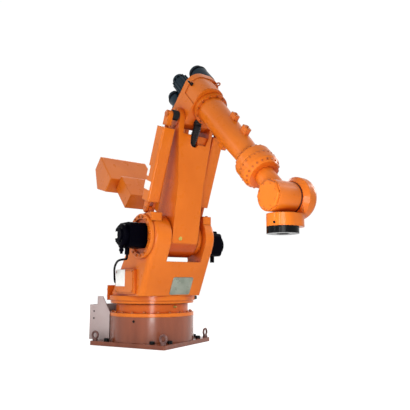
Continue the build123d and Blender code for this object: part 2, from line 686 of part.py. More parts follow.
# Elbow bearing caps on the prongs, and the pins that carry the balancer rods
prongs = (("right", -1, ARM_TOP_RIGHT, balancer_right), ("left", 1, ARM_TOP_LEFT, balancer_left))
for side, sign, prong, off in prongs:
    prong_face = Plane(origin=(ELBOW_X, sign * prong, ELBOW_Z), x_dir=(1, 0, 0), z_dir=(0, sign, 0))
    with BuildPart() as elbow_cap:
        with BuildSketch(prong_face):
            Circle(ELBOW_CAP_R)
            with Locations((TOP_PIN_FORWARD, -sign * TOP_PIN_UP)):
                Circle(ANCHOR_PIN_R + PIN_GAP, mode=Mode.SUBTRACT)
        extrude(amount=ELBOW_CAP_T)
    save(elbow_cap.part, f"{side}_elbow_cap", on_arm)
    with BuildPart() as rod_pin:
        with BuildSketch(prong_face):
            with Locations((TOP_PIN_FORWARD, -sign * TOP_PIN_UP)):
                Circle(ANCHOR_PIN_R)
        extrude(amount=off - prong + ROD_HEAD_HALF_T)
    save(rod_pin.part, f"{side}_rod_pin", on_arm)

# Balancer housings and rods, modelled upright about their own pins
for side, sign, prong, off in prongs:
    middle = sign * off
    with BuildPart() as housing:
        with BuildSketch(Plane.XY.offset(BALANCER_START)):
            with Locations((0, middle)):
                RectangleRounded(2 * BALANCER_HALF, 2 * BALANCER_HALF, BALANCER_CORNER)
        extrude(amount=balancer_l)
        with BuildSketch(Plane.XY.offset(BALANCER_START + BALANCER_FLOOR_T)):
            with Locations((0, middle)):
                Circle(BALANCER_BORE_R)
        extrude(amount=balancer_l, mode=Mode.SUBTRACT)
        for ear in (-1, 1):
            inner = middle + ear * (TONGUE_HALF_T + SEAT_GAP)
            with BuildSketch(Plane.XZ.offset(-inner)):
                Circle(EAR_R)
                with Locations((0, BALANCER_START / 2)):
                    Rectangle(2 * EAR_R, BALANCER_START)
                Circle(ANCHOR_PIN_R + PIN_GAP, mode=Mode.SUBTRACT)
            extrude(amount=-ear * EAR_T)
    save(housing.part, f"{side}_balancer_housing", on_housing)

    with BuildPart() as rod:
        with BuildSketch(Plane.XZ.offset(-middle)):
            Circle(ROD_HEAD_HALF)
            with Locations((0, -ROD_HEAD_L / 2)):
                Rectangle(2 * ROD_HEAD_HALF, ROD_HEAD_L)
            Circle(ANCHOR_PIN_R + PIN_GAP, mode=Mode.SUBTRACT)
        extrude(amount=ROD_HEAD_HALF_T, both=True)
        with BuildSketch(Plane.XY.offset(-ROD_HEAD_L)):
            with Locations((0, middle)):
                Circle(BALANCER_ROD_R)
        extrude(amount=-(BALANCER_MOUTH + rod_in))
    save(rod.part, f"{side}_balancer_rod", on_rod)

# Crank lever on the shoulder axis, with the link pin
lever_end_x = SHOULDER_X - (WEIGHT_NECK_FRONT + WEIGHT_FRONT) / 2
lever_end_z = SHOULDER_Z - (WEIGHT_NECK_TOP + WEIGHT_NECK_LOW) / 2
with BuildPart() as crank_lever:
    with BuildSketch(Plane.XZ.offset(-CRANK_IN)):
        with Locations((SHOULDER_X, SHOULDER_Z)):
            Circle(LEVER_ROOT_R)
        with Locations((PIN_X, SHOULDER_Z)):
            Circle(CRANK_PIN_BOSS_R)
        with Locations((lever_end_x, lever_end_z)):
            Circle(LEVER_END_R)
        make_hull()
        with Locations((SHOULDER_X, SHOULDER_Z)):
            Circle(CRANK_HUB_R)
            Circle(JOURNAL_R + PIN_GAP, mode=Mode.SUBTRACT)
    extrude(amount=-CRANK_T)
    with BuildSketch(Plane.XZ.offset(-CRANK_IN)):
        with Locations((PIN_X, SHOULDER_Z)):
            Circle(LINK_PIN_R)
    extrude(amount=LINK_T + 2 * SEAT_GAP)
save(crank_lever.part, "crank_lever", on_crank)

# Counterweight: faceted block and the neck that bolts to the lever
with BuildPart() as weight:
    with BuildSketch(Plane.XZ):
        with BuildLine():
            Polyline(
                (SHOULDER_X - WEIGHT_FRONT, SHOULDER_Z - WEIGHT_TOP),
                (SHOULDER_X - WEIGHT_REAR, SHOULDER_Z - WEIGHT_TOP),
                (SHOULDER_X - WEIGHT_REAR, SHOULDER_Z - WEIGHT_TOP - WEIGHT_SIDE_DROP),
                (SHOULDER_X - WEIGHT_KEEL, SHOULDER_Z - WEIGHT_TOP - WEIGHT_KEEL_DROP),
                (SHOULDER_X - WEIGHT_FRONT, SHOULDER_Z - WEIGHT_TOP - WEIGHT_SIDE_DROP),
                close=True,
            )
        make_face()
    extrude(amount=WEIGHT_HALF_W, both=True)
    fillet(weight.edges(), WEIGHT_EDGE_R)
save(weight.part, "counterweight", on_crank)

with BuildPart() as weight_neck:
    with BuildSketch(Plane.XZ.offset(-CRANK_IN)):
        with Locations((lever_end_x, lever_end_z)):
            Rectangle(WEIGHT_FRONT - WEIGHT_NECK_FRONT, WEIGHT_NECK_LOW - WEIGHT_NECK_TOP)
    extrude(amount=CRANK_IN + WEIGHT_NECK_HALF_W)
save(weight_neck.part, "counterweight_neck", on_crank)

# Link from the crank up to the forearm
link_y = CRANK_IN - SEAT_GAP
link_ends = ((PIN_X, SHOULDER_Z), (PIN_X + ELBOW_FORWARD, ELBOW_Z))
with BuildPart() as link:
    with BuildSketch(Plane.XZ.offset(-link_y)):
        with Locations(*link_ends):
            Circle(LINK_HALF_W)
        make_hull()
        with Locations(*link_ends):
            Circle(LINK_EYE_R)
            Circle(LINK_PIN_R + PIN_GAP, mode=Mode.SUBTRACT)
    extrude(amount=LINK_T)
save(link.part, "parallel_link", on_link)

# Forearm gear case: rounded case with the motor plate, elbow hub in the fork, and link lug
lug_y = link_y - LINK_T - SEAT_GAP
hub_right = SLOT_RIGHT - SEAT_GAP
hub_left = SLOT_LEFT - SEAT_GAP
body_back = CASE_REAR - MOTOR_PLATE_T
case_blocks = (
    (CASE_REAR, MOTOR_PLATE_T, MOTOR_PLATE_RIGHT, MOTOR_PLATE_LEFT, MOTOR_PLATE_HIGH, MOTOR_PLATE_R),
    (body_back, body_back + CASE_FRONT, CASE_RIGHT, CASE_LEFT, CASE_HIGH, CASE_TOP_R),
)
with BuildPart() as gear_case:
    for back, length, right, left, high, top_r in case_blocks:
        with BuildSketch(Plane.YZ.offset(ELBOW_X - back)):
            with Locations((top_r - right, ELBOW_Z + high - top_r), (left - top_r, ELBOW_Z + high - top_r)):
                Circle(top_r)
            low_z = ELBOW_Z + CASE_LOW + CASE_LOW_R
            with Locations((CASE_LOW_R - right, low_z), (left - CASE_LOW_R, low_z)):
                Circle(CASE_LOW_R)
            make_hull()
        extrude(amount=length)
    with BuildSketch(Plane.XZ.offset(hub_right)):
        with Locations((ELBOW_X, ELBOW_Z)):
            Circle(ELBOW_HUB_R)
        with Locations((ELBOW_X + (CASE_FRONT - HUB_BACK) / 2, ELBOW_Z + (HUB_LOW + FOREARM_RISE) / 2)):
            Rectangle(CASE_FRONT + HUB_BACK, FOREARM_RISE - HUB_LOW)
        make_hull()
    extrude(amount=-(hub_right + hub_left))
    with BuildSketch(Plane.XZ.offset(-lug_y)):
        with Locations((ELBOW_X - CRANK_PIN, ELBOW_Z)):
            Circle(LINK_EYE_R)
        with Locations((ELBOW_X - HUB_BACK / 2, ELBOW_Z + HUB_LOW + LINK_EYE_R)):
            Rectangle(HUB_BACK, 2 * LINK_EYE_R)
        make_hull()
    extrude(amount=LINK_LUG_T)
    with BuildSketch(Plane.XZ.offset(-lug_y)):
        with Locations((ELBOW_X - CRANK_PIN, ELBOW_Z)):
            Circle(LINK_PIN_R)
    extrude(amount=-(LINK_T + 2 * SEAT_GAP))
save(gear_case.part, "forearm_gear_case", on_forearm)

# Wrist motors on the rear face of the gear case, one of them finned lengthwise
rear_motors = (
    ("roll_motor", TOP_MOTOR_Y, TOP_MOTOR_UP, TOP_MOTOR_R, TOP_MOTOR_L, 0),
    ("bend_motor", FINNED_MOTOR_Y, FINNED_MOTOR_UP, FINNED_MOTOR_R, FINNED_MOTOR_L, FIN_COUNT),
    ("twist_motor", LOW_MOTOR_Y, LOW_MOTOR_UP, LOW_MOTOR_R, LOW_MOTOR_L, 0),
)
for name, motor_y, motor_up, motor_r, motor_l, fins in rear_motors:
    motor_seat = (ELBOW_X - CASE_REAR, motor_y, ELBOW_Z + motor_up)
    rear_face = Plane(origin=motor_seat, x_dir=(0, 1, 0), z_dir=(-1, 0, 0))
    with BuildPart() as rear_motor:
        with BuildSketch(rear_face):
            Circle(motor_r)
            if fins > 0:
                with PolarLocations(motor_r, fins):
                    Rectangle(2 * FIN_UP, FIN_T)
        extrude(amount=motor_l)
        with BuildSketch(rear_face.offset(motor_l)):
            Circle(motor_r - REAR_CAP_IN)
        extrude(amount=REAR_CAP_L)
        chamfer(rear_motor.faces().sort_by(Axis.X)[0].edges(), REAR_CAP_EDGE)
    save(rear_motor.part, name, on_forearm)

# Forearm tube with its bolting collar and three lugs
tube_start = ELBOW_X + CASE_FRONT
lug_reach = TUBE_ROOT_R + TUBE_LUG_UP
with BuildPart() as tube:
    with BuildSketch(Plane.XZ):
        with BuildLine():
            Polyline(
                (tube_start, FOREARM_Z),
                (tube_start, FOREARM_Z + COLLAR_R),
                (tube_start + COLLAR_T, FOREARM_Z + COLLAR_R),
                (tube_start + COLLAR_T, FOREARM_Z + TUBE_ROOT_R),
                (ELBOW_X + TUBE_END, FOREARM_Z + TUBE_TIP_R),
                (ELBOW_X + TUBE_END, FOREARM_Z),
                close=True,
            )
        make_face()
    revolve(axis=Axis((0, 0, FOREARM_Z), (1, 0, 0)))
    for lug_back, way in ((REAR_LUG_BACK, 1), (FRONT_LUG_BACK, 1), (LOWER_LUG_BACK, -1)):
        with BuildSketch(Plane.XY.offset(FOREARM_Z)):
            with Locations((ELBOW_X + TUBE_END - lug_back + TUBE_LUG_L / 2, 0)):
                Rectangle(TUBE_LUG_L, 2 * TUBE_LUG_HALF_W)
        extrude(amount=way * lug_reach)
save(tube.part, "forearm_tube", on_forearm)

# Roll gear rings with coned shoulders: one bolted to the tube, one that turns with the wrist
ring_split = ELBOW_X + TUBE_END + RING_T
rings = (
    ("forearm_end_ring", ring_split, -1, on_forearm),
    ("roll_ring", ring_split + SEAT_GAP, 1, on_roll),
)
for name, face_x, way, place in rings:
    with BuildPart() as ring:
        with BuildSketch(Plane.XZ):
            with BuildLine():
                Polyline(
                    (face_x, FOREARM_Z),
                    (face_x, FOREARM_Z + RING_R),
                    (face_x + way * (RING_T - RING_CONE), FOREARM_Z + RING_R),
                    (face_x + way * RING_T, FOREARM_Z + RING_NECK_R),
                    (face_x + way * RING_T, FOREARM_Z),
                    close=True,
                )
            make_face()
        revolve(axis=Axis((0, 0, FOREARM_Z), (1, 0, 0)))
    save(ring.part, name, place)

# Wrist yoke: neck and bend-axis barrel
neck_start = ring_split + SEAT_GAP + RING_T
with BuildPart() as yoke:
    with BuildSketch(Plane.YZ.offset(neck_start)):
        with Locations((0, FOREARM_Z)):
            Circle(NECK_ROOT_R)
    extrude(amount=WRIST_X - neck_start)
    with BuildSketch(Plane.XZ.offset(BEND_RIGHT)):
        with Locations((WRIST_X, FOREARM_Z)):
            Circle(BEND_R)
    extrude(amount=-(BEND_RIGHT + BEND_LEFT))
save(yoke.part, "wrist_yoke", on_roll)

with BuildPart() as yoke_cap:
    with BuildSketch(Plane.XZ.offset(BEND_RIGHT)):
        with Locations((WRIST_X, FOREARM_Z)):
            RegularPolygon(BEND_R, BEND_CAP_SIDES)
    extrude(amount=BEND_CAP_T, taper=BEND_CAP_TAPER)
save(yoke_cap.part, "wrist_end_cover", on_roll)

# Tool housing: bend gear dome beside the barrel and the long-hole section that carries the flange
dome_in = BEND_LEFT + SEAT_GAP
plate_start = BEND_R + MOVE_GAP
bend_axis = Axis((WRIST_X, 0, FOREARM_Z), (0, 1, 0))
with BuildPart() as tool_housing:
    with BuildSketch(Plane.YZ.offset(WRIST_X)):
        with Locations((0, FOREARM_Z)):
            Circle(HOUSE_R)
        with Locations((HOUSE_SHIFT, FOREARM_Z)):
            Circle(HOUSE_R)
        make_hull()
    extrude(amount=plate_start + TOOL_PLATE_T)
    with BuildSketch(Plane.XZ.offset(-dome_in)):
        with Locations((WRIST_X, FOREARM_Z)):
            Rectangle(2 * plate_start, 2 * DOME_R)
    extrude(amount=dome_in + HOUSE_R + MOVE_GAP, mode=Mode.SUBTRACT)
    with BuildSketch(Plane.YZ.offset(WRIST_X)):
        with BuildLine():
            Polyline(
                (DOME_OUT, FOREARM_Z + DOME_FACE_R),
                (DOME_OUT, FOREARM_Z),
                (dome_in, FOREARM_Z),
                (dome_in, FOREARM_Z + DOME_ROOT_R),
                (dome_in + DOME_CONE, FOREARM_Z + DOME_R),
                (dome_in + DOME_CONE + DOME_RIM, FOREARM_Z + DOME_R),
            )
            TangentArc(
                (dome_in + DOME_CONE + DOME_RIM, FOREARM_Z + DOME_R),
                (DOME_OUT, FOREARM_Z + DOME_FACE_R),
                tangent=(1, 0),
            )
        make_face()
    revolve(axis=bend_axis)
save(tool_housing.part, "tool_housing", on_tool)

# Tool flange with its pilot bore and bolt circle
flange_x = WRIST_X + plate_start + TOOL_PLATE_T + SEAT_GAP
flange_face = Plane(origin=(flange_x, 0, FOREARM_Z), x_dir=(0, 1, 0), z_dir=(1, 0, 0))
with BuildPart() as tool_flange:
    with BuildSketch(flange_face):
        Circle(FLANGE_R)
    extrude(amount=FLANGE_T)
    with BuildSketch(flange_face.offset(FLANGE_T)):
        Circle(PILOT_R)
    extrude(amount=-PILOT_DEPTH, mode=Mode.SUBTRACT)
    with BuildSketch(flange_face.offset(FLANGE_T)):
        with PolarLocations(TOOL_PCD / 2, TOOL_BOLTS):
            Circle(TOOL_BOLT_R)
    extrude(amount=-TOOL_BOLT_DEPTH, mode=Mode.SUBTRACT)
save(tool_flange.part, "tool_flange", on_tool)
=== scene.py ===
"""Looks of the robot arm: camera, light, paint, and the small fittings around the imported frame.

Metres, +Z up, in the row frame. Fittings are placed in the arm's home pose (facing +X, lower arm upright,
forearm level) and carried to the stored pose by the same turns as the pieces that hold them.
"""

import json
import math

import bmesh
import bpy
from mathutils import Matrix, Vector


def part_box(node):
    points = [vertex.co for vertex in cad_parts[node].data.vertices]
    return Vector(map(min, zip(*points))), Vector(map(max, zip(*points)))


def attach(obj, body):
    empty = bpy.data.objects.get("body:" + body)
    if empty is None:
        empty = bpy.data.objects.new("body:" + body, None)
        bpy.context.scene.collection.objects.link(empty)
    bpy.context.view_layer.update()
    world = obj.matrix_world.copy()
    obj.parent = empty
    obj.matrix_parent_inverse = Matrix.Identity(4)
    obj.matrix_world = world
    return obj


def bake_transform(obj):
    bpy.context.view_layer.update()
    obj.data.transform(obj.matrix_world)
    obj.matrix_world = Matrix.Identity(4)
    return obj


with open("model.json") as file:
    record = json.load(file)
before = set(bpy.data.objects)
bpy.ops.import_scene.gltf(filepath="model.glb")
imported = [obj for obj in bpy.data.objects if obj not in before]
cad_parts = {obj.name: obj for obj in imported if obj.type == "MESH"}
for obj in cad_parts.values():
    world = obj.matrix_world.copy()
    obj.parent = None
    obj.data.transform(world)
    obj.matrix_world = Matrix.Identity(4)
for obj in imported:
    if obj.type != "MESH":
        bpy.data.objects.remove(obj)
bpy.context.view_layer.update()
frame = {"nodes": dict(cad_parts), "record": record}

# Camera, fitted to the photograph's perspective
CAMERA_AT = (2.391, -3.506, 0.484)
CAMERA_YAW = math.radians(118.43)
CAMERA_PITCH = math.radians(8.75)
FOCAL_PIXELS = 504.3
IMAGE_PIXELS = 410
SENSOR = 36.0

# Joint angles of the stored pose, in degrees
TURN = -25.0
LEAN = 11.5
DROOP = 46.7
BEND = 43.3

# Axes in the home pose
SHOULDER = Vector((0.370, 0, 0.825))
ELBOW = Vector((0.420, 0, 1.730))
WRIST = Vector((1.557, 0, 1.909))
BALANCER_ANCHOR = SHOULDER + Vector((0.015, 0, 0.206))
BALANCER_PIN = ELBOW + Vector((0.055, 0, 0.009))
BALANCER_Y = {"right": -0.272, "left": 0.179}
CRANK_ARM = 0.300

# Socket-head screws by thread size; a head is 1.5 sizes across
M6 = 0.006
M8 = 0.008
M10 = 0.010
M12 = 0.012
M14 = 0.014
M27 = 0.027

# Profiles of turned pieces: radius and height, from the seat outwards
NIPPLE = [(0.010, 0), (0.010, 0.006), (0.006, 0.008), (0.005, 0.018), (0.007, 0.021), (0.004, 0.026)]
DRUM_PLUG = [(0.009, 0), (0.009, 0.003), (0.006, 0.005)]
SOCKET_NUT = [(0.039, 0), (0.042, 0.003), (0.042, 0.012), (0.039, 0.015), (0.030, 0.015), (0.030, 0.010)]
RIVET = [(0.005, 0), (0.005, 0.0055), (0.003, 0.007)]
SENSOR_PLUG = [(0.013, 0), (0.013, 0.018), (0.017, 0.020), (0.017, 0.036), (0.011, 0.040), (0.009, 0.056)]
ANCHOR_PIN_CAP = [(0.020, 0), (0.020, 0.002), (0.018, 0.004), (0.008, 0.004), (0.007, 0.003)]
ARM_PLUG = [(0.015, 0), (0.015, 0.003), (0.011, 0.004), (0.010, 0.001)]
ROD_PIN_KEEPER = [
    (0.012, 0), (0.012, 0.001), (0.024, 0.001), (0.024, 0.004), (0.021, 0.006), (0.009, 0.006),
]
LINK_PIN_KEEPER = [(0.030, 0), (0.030, 0.003), (0.027, 0.005), (0.010, 0.005), (0.009, 0.004)]
EYE_FOOT = [(0.013, -0.002), (0.013, 0.006), (0.010, 0.008), (0.007, 0.014)]
SEAL_LIP = [(0.0975, 0), (0.1005, 0.002), (0.1005, 0.012), (0.0975, 0.012)]
HOUSING_PLUG = [(0.008, 0), (0.008, 0.002), (0.005, 0.003), (0.004, 0.001)]

# Plates: width, height, thickness and corner radius
# Pale plate on the right motor's end cover, a painted highlight
MOTOR_END_HIGHLIGHT = (0.052, 0.050, 0.0012, 0.006)
MOTOR_TERMINAL = (0.110, 0.090, 0.018, 0.010)
JUNCTION_COVER_T = 0.005
JUNCTION_COVER = (0.272, 0.166, JUNCTION_COVER_T, 0.010)
JUNCTION_LABEL = (0.150, 0.128, 0.0015, 0.004)
FRONT_PLATE = (0.184, 0.146, 0.004, 0.014)
TURN_STOP = (0.034, 0.030, 0.018, 0.004)
BALANCER_LABEL = (0.084, 0.066, 0.0012, 0.004)
# Pale strip on the balancer housing, a painted highlight along its face
BALANCER_HIGHLIGHT_STRIP = (0.030, 0.080, 0.0012, 0.004)

# Points on round outlines, and the angle from which an edge is shaded sharp
SEGMENTS = 24
CORNER_STEPS = 5
EYE_STEPS = 28
WIRE_STEPS = 12
RIB_STEPS = 4
SHARP_EDGE = math.radians(32)


def swing(point, degrees):
    """Turn about the cross axis through a point, nose down for a positive angle."""
    turn = Matrix.Rotation(math.radians(degrees), 4, "Y")
    return Matrix.Translation(point) @ turn @ Matrix.Translation(-point)


on_frame = Matrix.Rotation(math.radians(TURN), 4, "Z")
on_arm = on_frame @ swing(SHOULDER, LEAN)
on_forearm = on_arm @ swing(ELBOW, DROOP - LEAN)
pin_now = swing(SHOULDER, LEAN) @ BALANCER_PIN
balancer_line = pin_now - BALANCER_ANCHOR
balancer_tilt = Matrix.Rotation(math.atan2(balancer_line.x, balancer_line.z), 4, "Y")
places = {
    "base": Matrix.Identity(4),
    "swivel": on_frame,
    "lower_arm": on_arm,
    "crank": on_frame @ swing(SHOULDER, DROOP),
    "forearm": on_forearm,
    "wrist": on_forearm,
    "tool_head": on_forearm @ swing(WRIST, BEND),
    "right_balancer": on_frame @ Matrix.Translation(BALANCER_ANCHOR) @ balancer_tilt,
}


def seat(body, at, normal):
    """Frame on a body's surface: origin at a point of the home pose, Z along the normal, Y upwards."""
    turn = Vector(normal).to_track_quat("Z", "Y").to_matrix().to_4x4()
    return places[body] @ Matrix.Translation(at) @ turn


def ring_of(centre, radius, count, start=0.0):
    """Frames evenly spaced on a circle about a seat's Z axis."""
    step = 2 * math.pi / count
    return [
        centre @ Matrix.Rotation(start + i * step, 4, "Z") @ Matrix.Translation((radius, 0, 0))
        for i in range(count)
    ]


def beside(centre, spots):
    """Frames at flat offsets from a seat."""
    return [centre @ Matrix.Translation((x, y, 0)) for x, y in spots]


def corners(width, height):
    """Offsets to the corners of a rectangle."""
    return [(sx * width / 2, sy * height / 2) for sx in (-1, 1) for sy in (-1, 1)]


# Outlines and skins


def circle(radius, z):
    """Round outline at a height."""
    step = 2 * math.pi / SEGMENTS
    return [Vector((radius * math.cos(i * step), radius * math.sin(i * step), z)) for i in range(SEGMENTS)]


def hexagon(flat, z):
    """Hexagon with that distance from centre to flat, with as many points as a circle."""
    points = []
    for i in range(SEGMENTS):
        angle = 2 * math.pi * i / SEGMENTS
        radius = flat / math.cos((angle + math.pi / 6) % (math.pi / 3) - math.pi / 6)
        points.append(Vector((radius * math.cos(angle), radius * math.sin(angle), z)))
    return points


def rounded(width, height, corner, z):
    """Rectangle with rounded corners."""
    points = []
    for quarter, (sx, sy) in enumerate(((1, 1), (-1, 1), (-1, -1), (1, -1))):
        for step in range(CORNER_STEPS + 1):
            angle = math.pi / 2 * (quarter + step / CORNER_STEPS)
            x = sx * (width / 2 - corner) + corner * math.cos(angle)
            y = sy * (height / 2 - corner) + corner * math.sin(angle)
            points.append(Vector((x, y, z)))
    return points


def skin(bm, place, rings):
    """Closed skin over outlines that have the same number of points."""
    loops = [[bm.verts.new(place @ point) for point in ring] for ring in rings]
    count = len(loops[0])
    for low, high in zip(loops, loops[1:]):
        for i in range(count):
            j = (i + 1) % count
            bm.faces.new((low[i], low[j], high[j], high[i]))
    bm.faces.new(loops[0][::-1])
    bm.faces.new(loops[-1])


def cap_screw(bm, place, size, proud):
    """Socket-head screw that stands so far proud: chamfered head with a hexagon socket."""
    head_r = 0.75 * size
    rim = 0.1 * size
    socket = 0.38 * size
    socket_floor = 0.35 * proud
    skin(bm, place, [
        circle(head_r, 0),
        circle(head_r, proud - rim),
        circle(head_r - rim, proud),
        hexagon(socket, proud),
        hexagon(socket, socket_floor),
    ])


def hex_bolt(bm, place, flat, head_h):
    """Hexagon bolt on a round washer."""
    washer_t = 0.25 * head_h
    washer_r = 1.35 * flat
    chamfer_at = 0.88 * head_h
    crown_r = 0.9 * flat
    skin(bm, place, [
        circle(washer_r, 0),
        circle(washer_r, washer_t),
        hexagon(flat, washer_t),
        hexagon(flat, chamfer_at),
        circle(crown_r, head_h),
    ])


def lathe(bm, place, profile):
    """Round piece from (radius, height) pairs."""
    skin(bm, place, [circle(radius, height) for radius, height in profile])


def plate(bm, place, width, height, thick, corner):
    """Flat plate with rounded corners and a softened upper edge."""
    edge = 0.35 * thick
    skin(bm, place, [
        rounded(width, height, corner, 0),
        rounded(width, height, corner, thick - edge),
        rounded(width - 2 * edge, height - 2 * edge, corner - edge, thick),
    ])


def torus(bm, place, ring_r, wire_r):
    """Ring standing upright on its seat, in the seat's XZ plane, centred on the seat."""
    loops = []
    for i in range(EYE_STEPS):
        turn = 2 * math.pi * i / EYE_STEPS
        loop = []
        for j in range(WIRE_STEPS):
            tilt = 2 * math.pi * j / WIRE_STEPS
            reach = ring_r + wire_r * math.cos(tilt)
            point = Vector((reach * math.cos(turn), wire_r * math.sin(tilt), reach * math.sin(turn)))
            loop.append(bm.verts.new(place @ point))
        loops.append(loop)
    for i in range(EYE_STEPS):
        here = loops[i]
        there = loops[(i + 1) % EYE_STEPS]
        for j in range(WIRE_STEPS):
            k = (j + 1) % WIRE_STEPS
            bm.faces.new((here[j], here[k], there[k], there[j]))


def bezier(points, t):
    """Point on the cubic through four control points."""
    a, b, c, d = points
    s = 1 - t
    return s ** 3 * a + 3 * s * s * t * b + 3 * s * t * t * c + t ** 3 * d


def corrugated(bm, place, points, radius, rib, ribs):
    """Ribbed sleeve along a cubic curve."""
    count = RIB_STEPS * ribs
    near = 0.01
    rings = []
    for i in range(count + 1):
        t = i / count
        here = bezier(points, t)
        ahead = bezier(points, min(t + near, 1)) - bezier(points, max(t - near, 0))
        turn = ahead.to_track_quat("Z", "X").to_matrix()
        swell = radius + rib * math.sin(2 * math.pi * i / RIB_STEPS)
        rings.append([here + turn @ point for point in circle(swell, 0)])
    skin(bm, place, rings)


# Materials

GRAIN_SCALE = 420.0
GRAIN_STRENGTH = 0.12
GRAIN_DEPTH = 0.001
GLOSS_SCALE = 14.0
GLOSS_SPREAD = 0.15
COAT_ROUGH = 0.12
# Reach of the painted shade in corners and hollows
HOLLOW_SHADE_REACH = 0.22
# Painted shadow over the lower arm's hub: top height, fade and tint
HUB_SHADOW_TOP = 0.776
HUB_SHADOW_FADE = 0.012
HUB_SHADOW_TINT = (0.68, 0.44, 0.55)


def material_with(name):
    """New material with its nodes, links and main shader."""
    material = bpy.data.materials.new(name)
    material.use_nodes = True
    nodes = material.node_tree.nodes
    return material, nodes, material.node_tree.links, nodes["Principled BSDF"]


def noise(nodes, links, scale, detail, stretch=(1, 1, 1)):
    """Noise in the object's own coordinates."""
    where = nodes.new("ShaderNodeTexCoord")
    mapping = nodes.new("ShaderNodeMapping")
    mapping.inputs["Scale"].default_value = stretch
    texture = nodes.new("ShaderNodeTexNoise")
    texture.inputs["Scale"].default_value = scale
    texture.inputs["Detail"].default_value = detail
    links.new(where.outputs["Object"], mapping.inputs["Vector"])
    links.new(mapping.outputs["Vector"], texture.inputs["Vector"])
    return texture.outputs["Fac"]


def ramp(nodes, links, source, low, high, low_at=0.35, high_at=0.65):
    """Colour that runs from low to high with the source value."""
    node = nodes.new("ShaderNodeValToRGB")
    node.color_ramp.elements[0].position = low_at
    node.color_ramp.elements[0].color = (*low, 1)
    node.color_ramp.elements[1].position = high_at
    node.color_ramp.elements[1].color = (*high, 1)
    links.new(source, node.inputs["Fac"])
    return node.outputs["Color"]


def spread(nodes, links, source, low, high):
    """Value that runs from low to high as the source runs from 0.3 to 0.7."""
    node = nodes.new("ShaderNodeMapRange")
    node.inputs["From Min"].default_value = 0.3
    node.inputs["From Max"].default_value = 0.7
    node.inputs["To Min"].default_value = low
    node.inputs["To Max"].default_value = high
    links.new(source, node.inputs["Value"])
    return node.outputs["Result"]


def surface_normal(nodes, links, shader, edge_r):
    """Fine surface grain over slightly rounded edges."""
    edge = nodes.new("ShaderNodeBevel")
    edge.samples = 4
    edge.inputs["Radius"].default_value = edge_r
    bump = nodes.new("ShaderNodeBump")
    bump.inputs["Strength"].default_value = GRAIN_STRENGTH
    bump.inputs["Distance"].default_value = GRAIN_DEPTH
    links.new(noise(nodes, links, GRAIN_SCALE, 2.0), bump.inputs["Height"])
    links.new(edge.outputs["Normal"], bump.inputs["Normal"])
    links.new(bump.outputs["Normal"], shader.inputs["Normal"])


def multiplied(nodes, links, colour, tint):
    """Colour multiplied by a tint."""
    mix = nodes.new("ShaderNodeMix")
    mix.data_type = "RGBA"
    mix.blend_type = "MULTIPLY"
    mix.inputs["Factor"].default_value = 1.0
    links.new(colour, mix.inputs["A"])
    links.new(tint, mix.inputs["B"])
    return mix.outputs["Result"]


def painted_hollow_shade(nodes, links, colour, tint):
    """Painted shade: colour that turns to a darker tint in corners and hollows, where shade falls."""
    hollow_shade = nodes.new("ShaderNodeAmbientOcclusion")
    hollow_shade.samples = 6
    hollow_shade.inputs["Distance"].default_value = HOLLOW_SHADE_REACH
    shade = ramp(nodes, links, hollow_shade.outputs["AO"], tint, (1, 1, 1), 0.25, 0.85)
    return multiplied(nodes, links, colour, shade)


def painted_hub_shadow(nodes, links, colour, top):
    """Painted shadow: colour darkened below a height of the stored pose, where the hub lies in shade under
    the arm's front plate.
    """
    where = nodes.new("ShaderNodeTexCoord")
    split = nodes.new("ShaderNodeSeparateXYZ")
    links.new(where.outputs["Object"], split.inputs["Vector"])
    band = nodes.new("ShaderNodeMapRange")
    band.inputs["From Min"].default_value = top - HUB_SHADOW_FADE
    band.inputs["From Max"].default_value = top
    links.new(split.outputs["Z"], band.inputs["Value"])
    shade = ramp(nodes, links, band.outputs["Result"], HUB_SHADOW_TINT, (1, 1, 1), 0, 1)
    return multiplied(nodes, links, colour, shade)


def paint(
    name, dark, light, rough, gloss=0.5, coat=0.0, metal=0.0, patch=3.0, stretch=(1, 1, 1), edge_r=0.004,
    hollow_shade=(0.6, 0.6, 0.6), hub_shadow_top=None,
):
    """Paint or bare finish with patches of two tones, painted shade in its hollows, uneven gloss and a fine
    grain; given a top height, also a painted shadow below it.
    """
    material, nodes, links, shader = material_with(name)
    patches = noise(nodes, links, patch, 5.0, stretch)
    colour = ramp(nodes, links, patches, dark, light)
    colour = painted_hollow_shade(nodes, links, colour, hollow_shade)
    if hub_shadow_top:
        colour = painted_hub_shadow(nodes, links, colour, hub_shadow_top)
    links.new(colour, shader.inputs["Base Color"])
    gloss_noise = noise(nodes, links, GLOSS_SCALE, 4.0, stretch)
    smooth = (1 - GLOSS_SPREAD) * rough
    dull = (1 + GLOSS_SPREAD) * rough
    links.new(spread(nodes, links, gloss_noise, smooth, dull), shader.inputs["Roughness"])
    shader.inputs["Specular IOR Level"].default_value = gloss
    shader.inputs["Coat Weight"].default_value = coat
    shader.inputs["Coat Roughness"].default_value = COAT_ROUGH
    shader.inputs["Metallic"].default_value = metal
    surface_normal(nodes, links, shader, edge_r)
    return material


def orange(name, hub_shadow_top=None):
    """Glossy orange paint of the castings, with a red painted shade in its hollows and, given a top height,
    a painted shadow below it.
    """
    return paint(
        name, (0.560, 0.124, 0.006), (0.622, 0.148, 0.010), rough=0.30, gloss=0.12, coat=0.18, edge_r=0.014,
        hollow_shade=(0.72, 0.34, 0.40), hub_shadow_top=hub_shadow_top,
    )


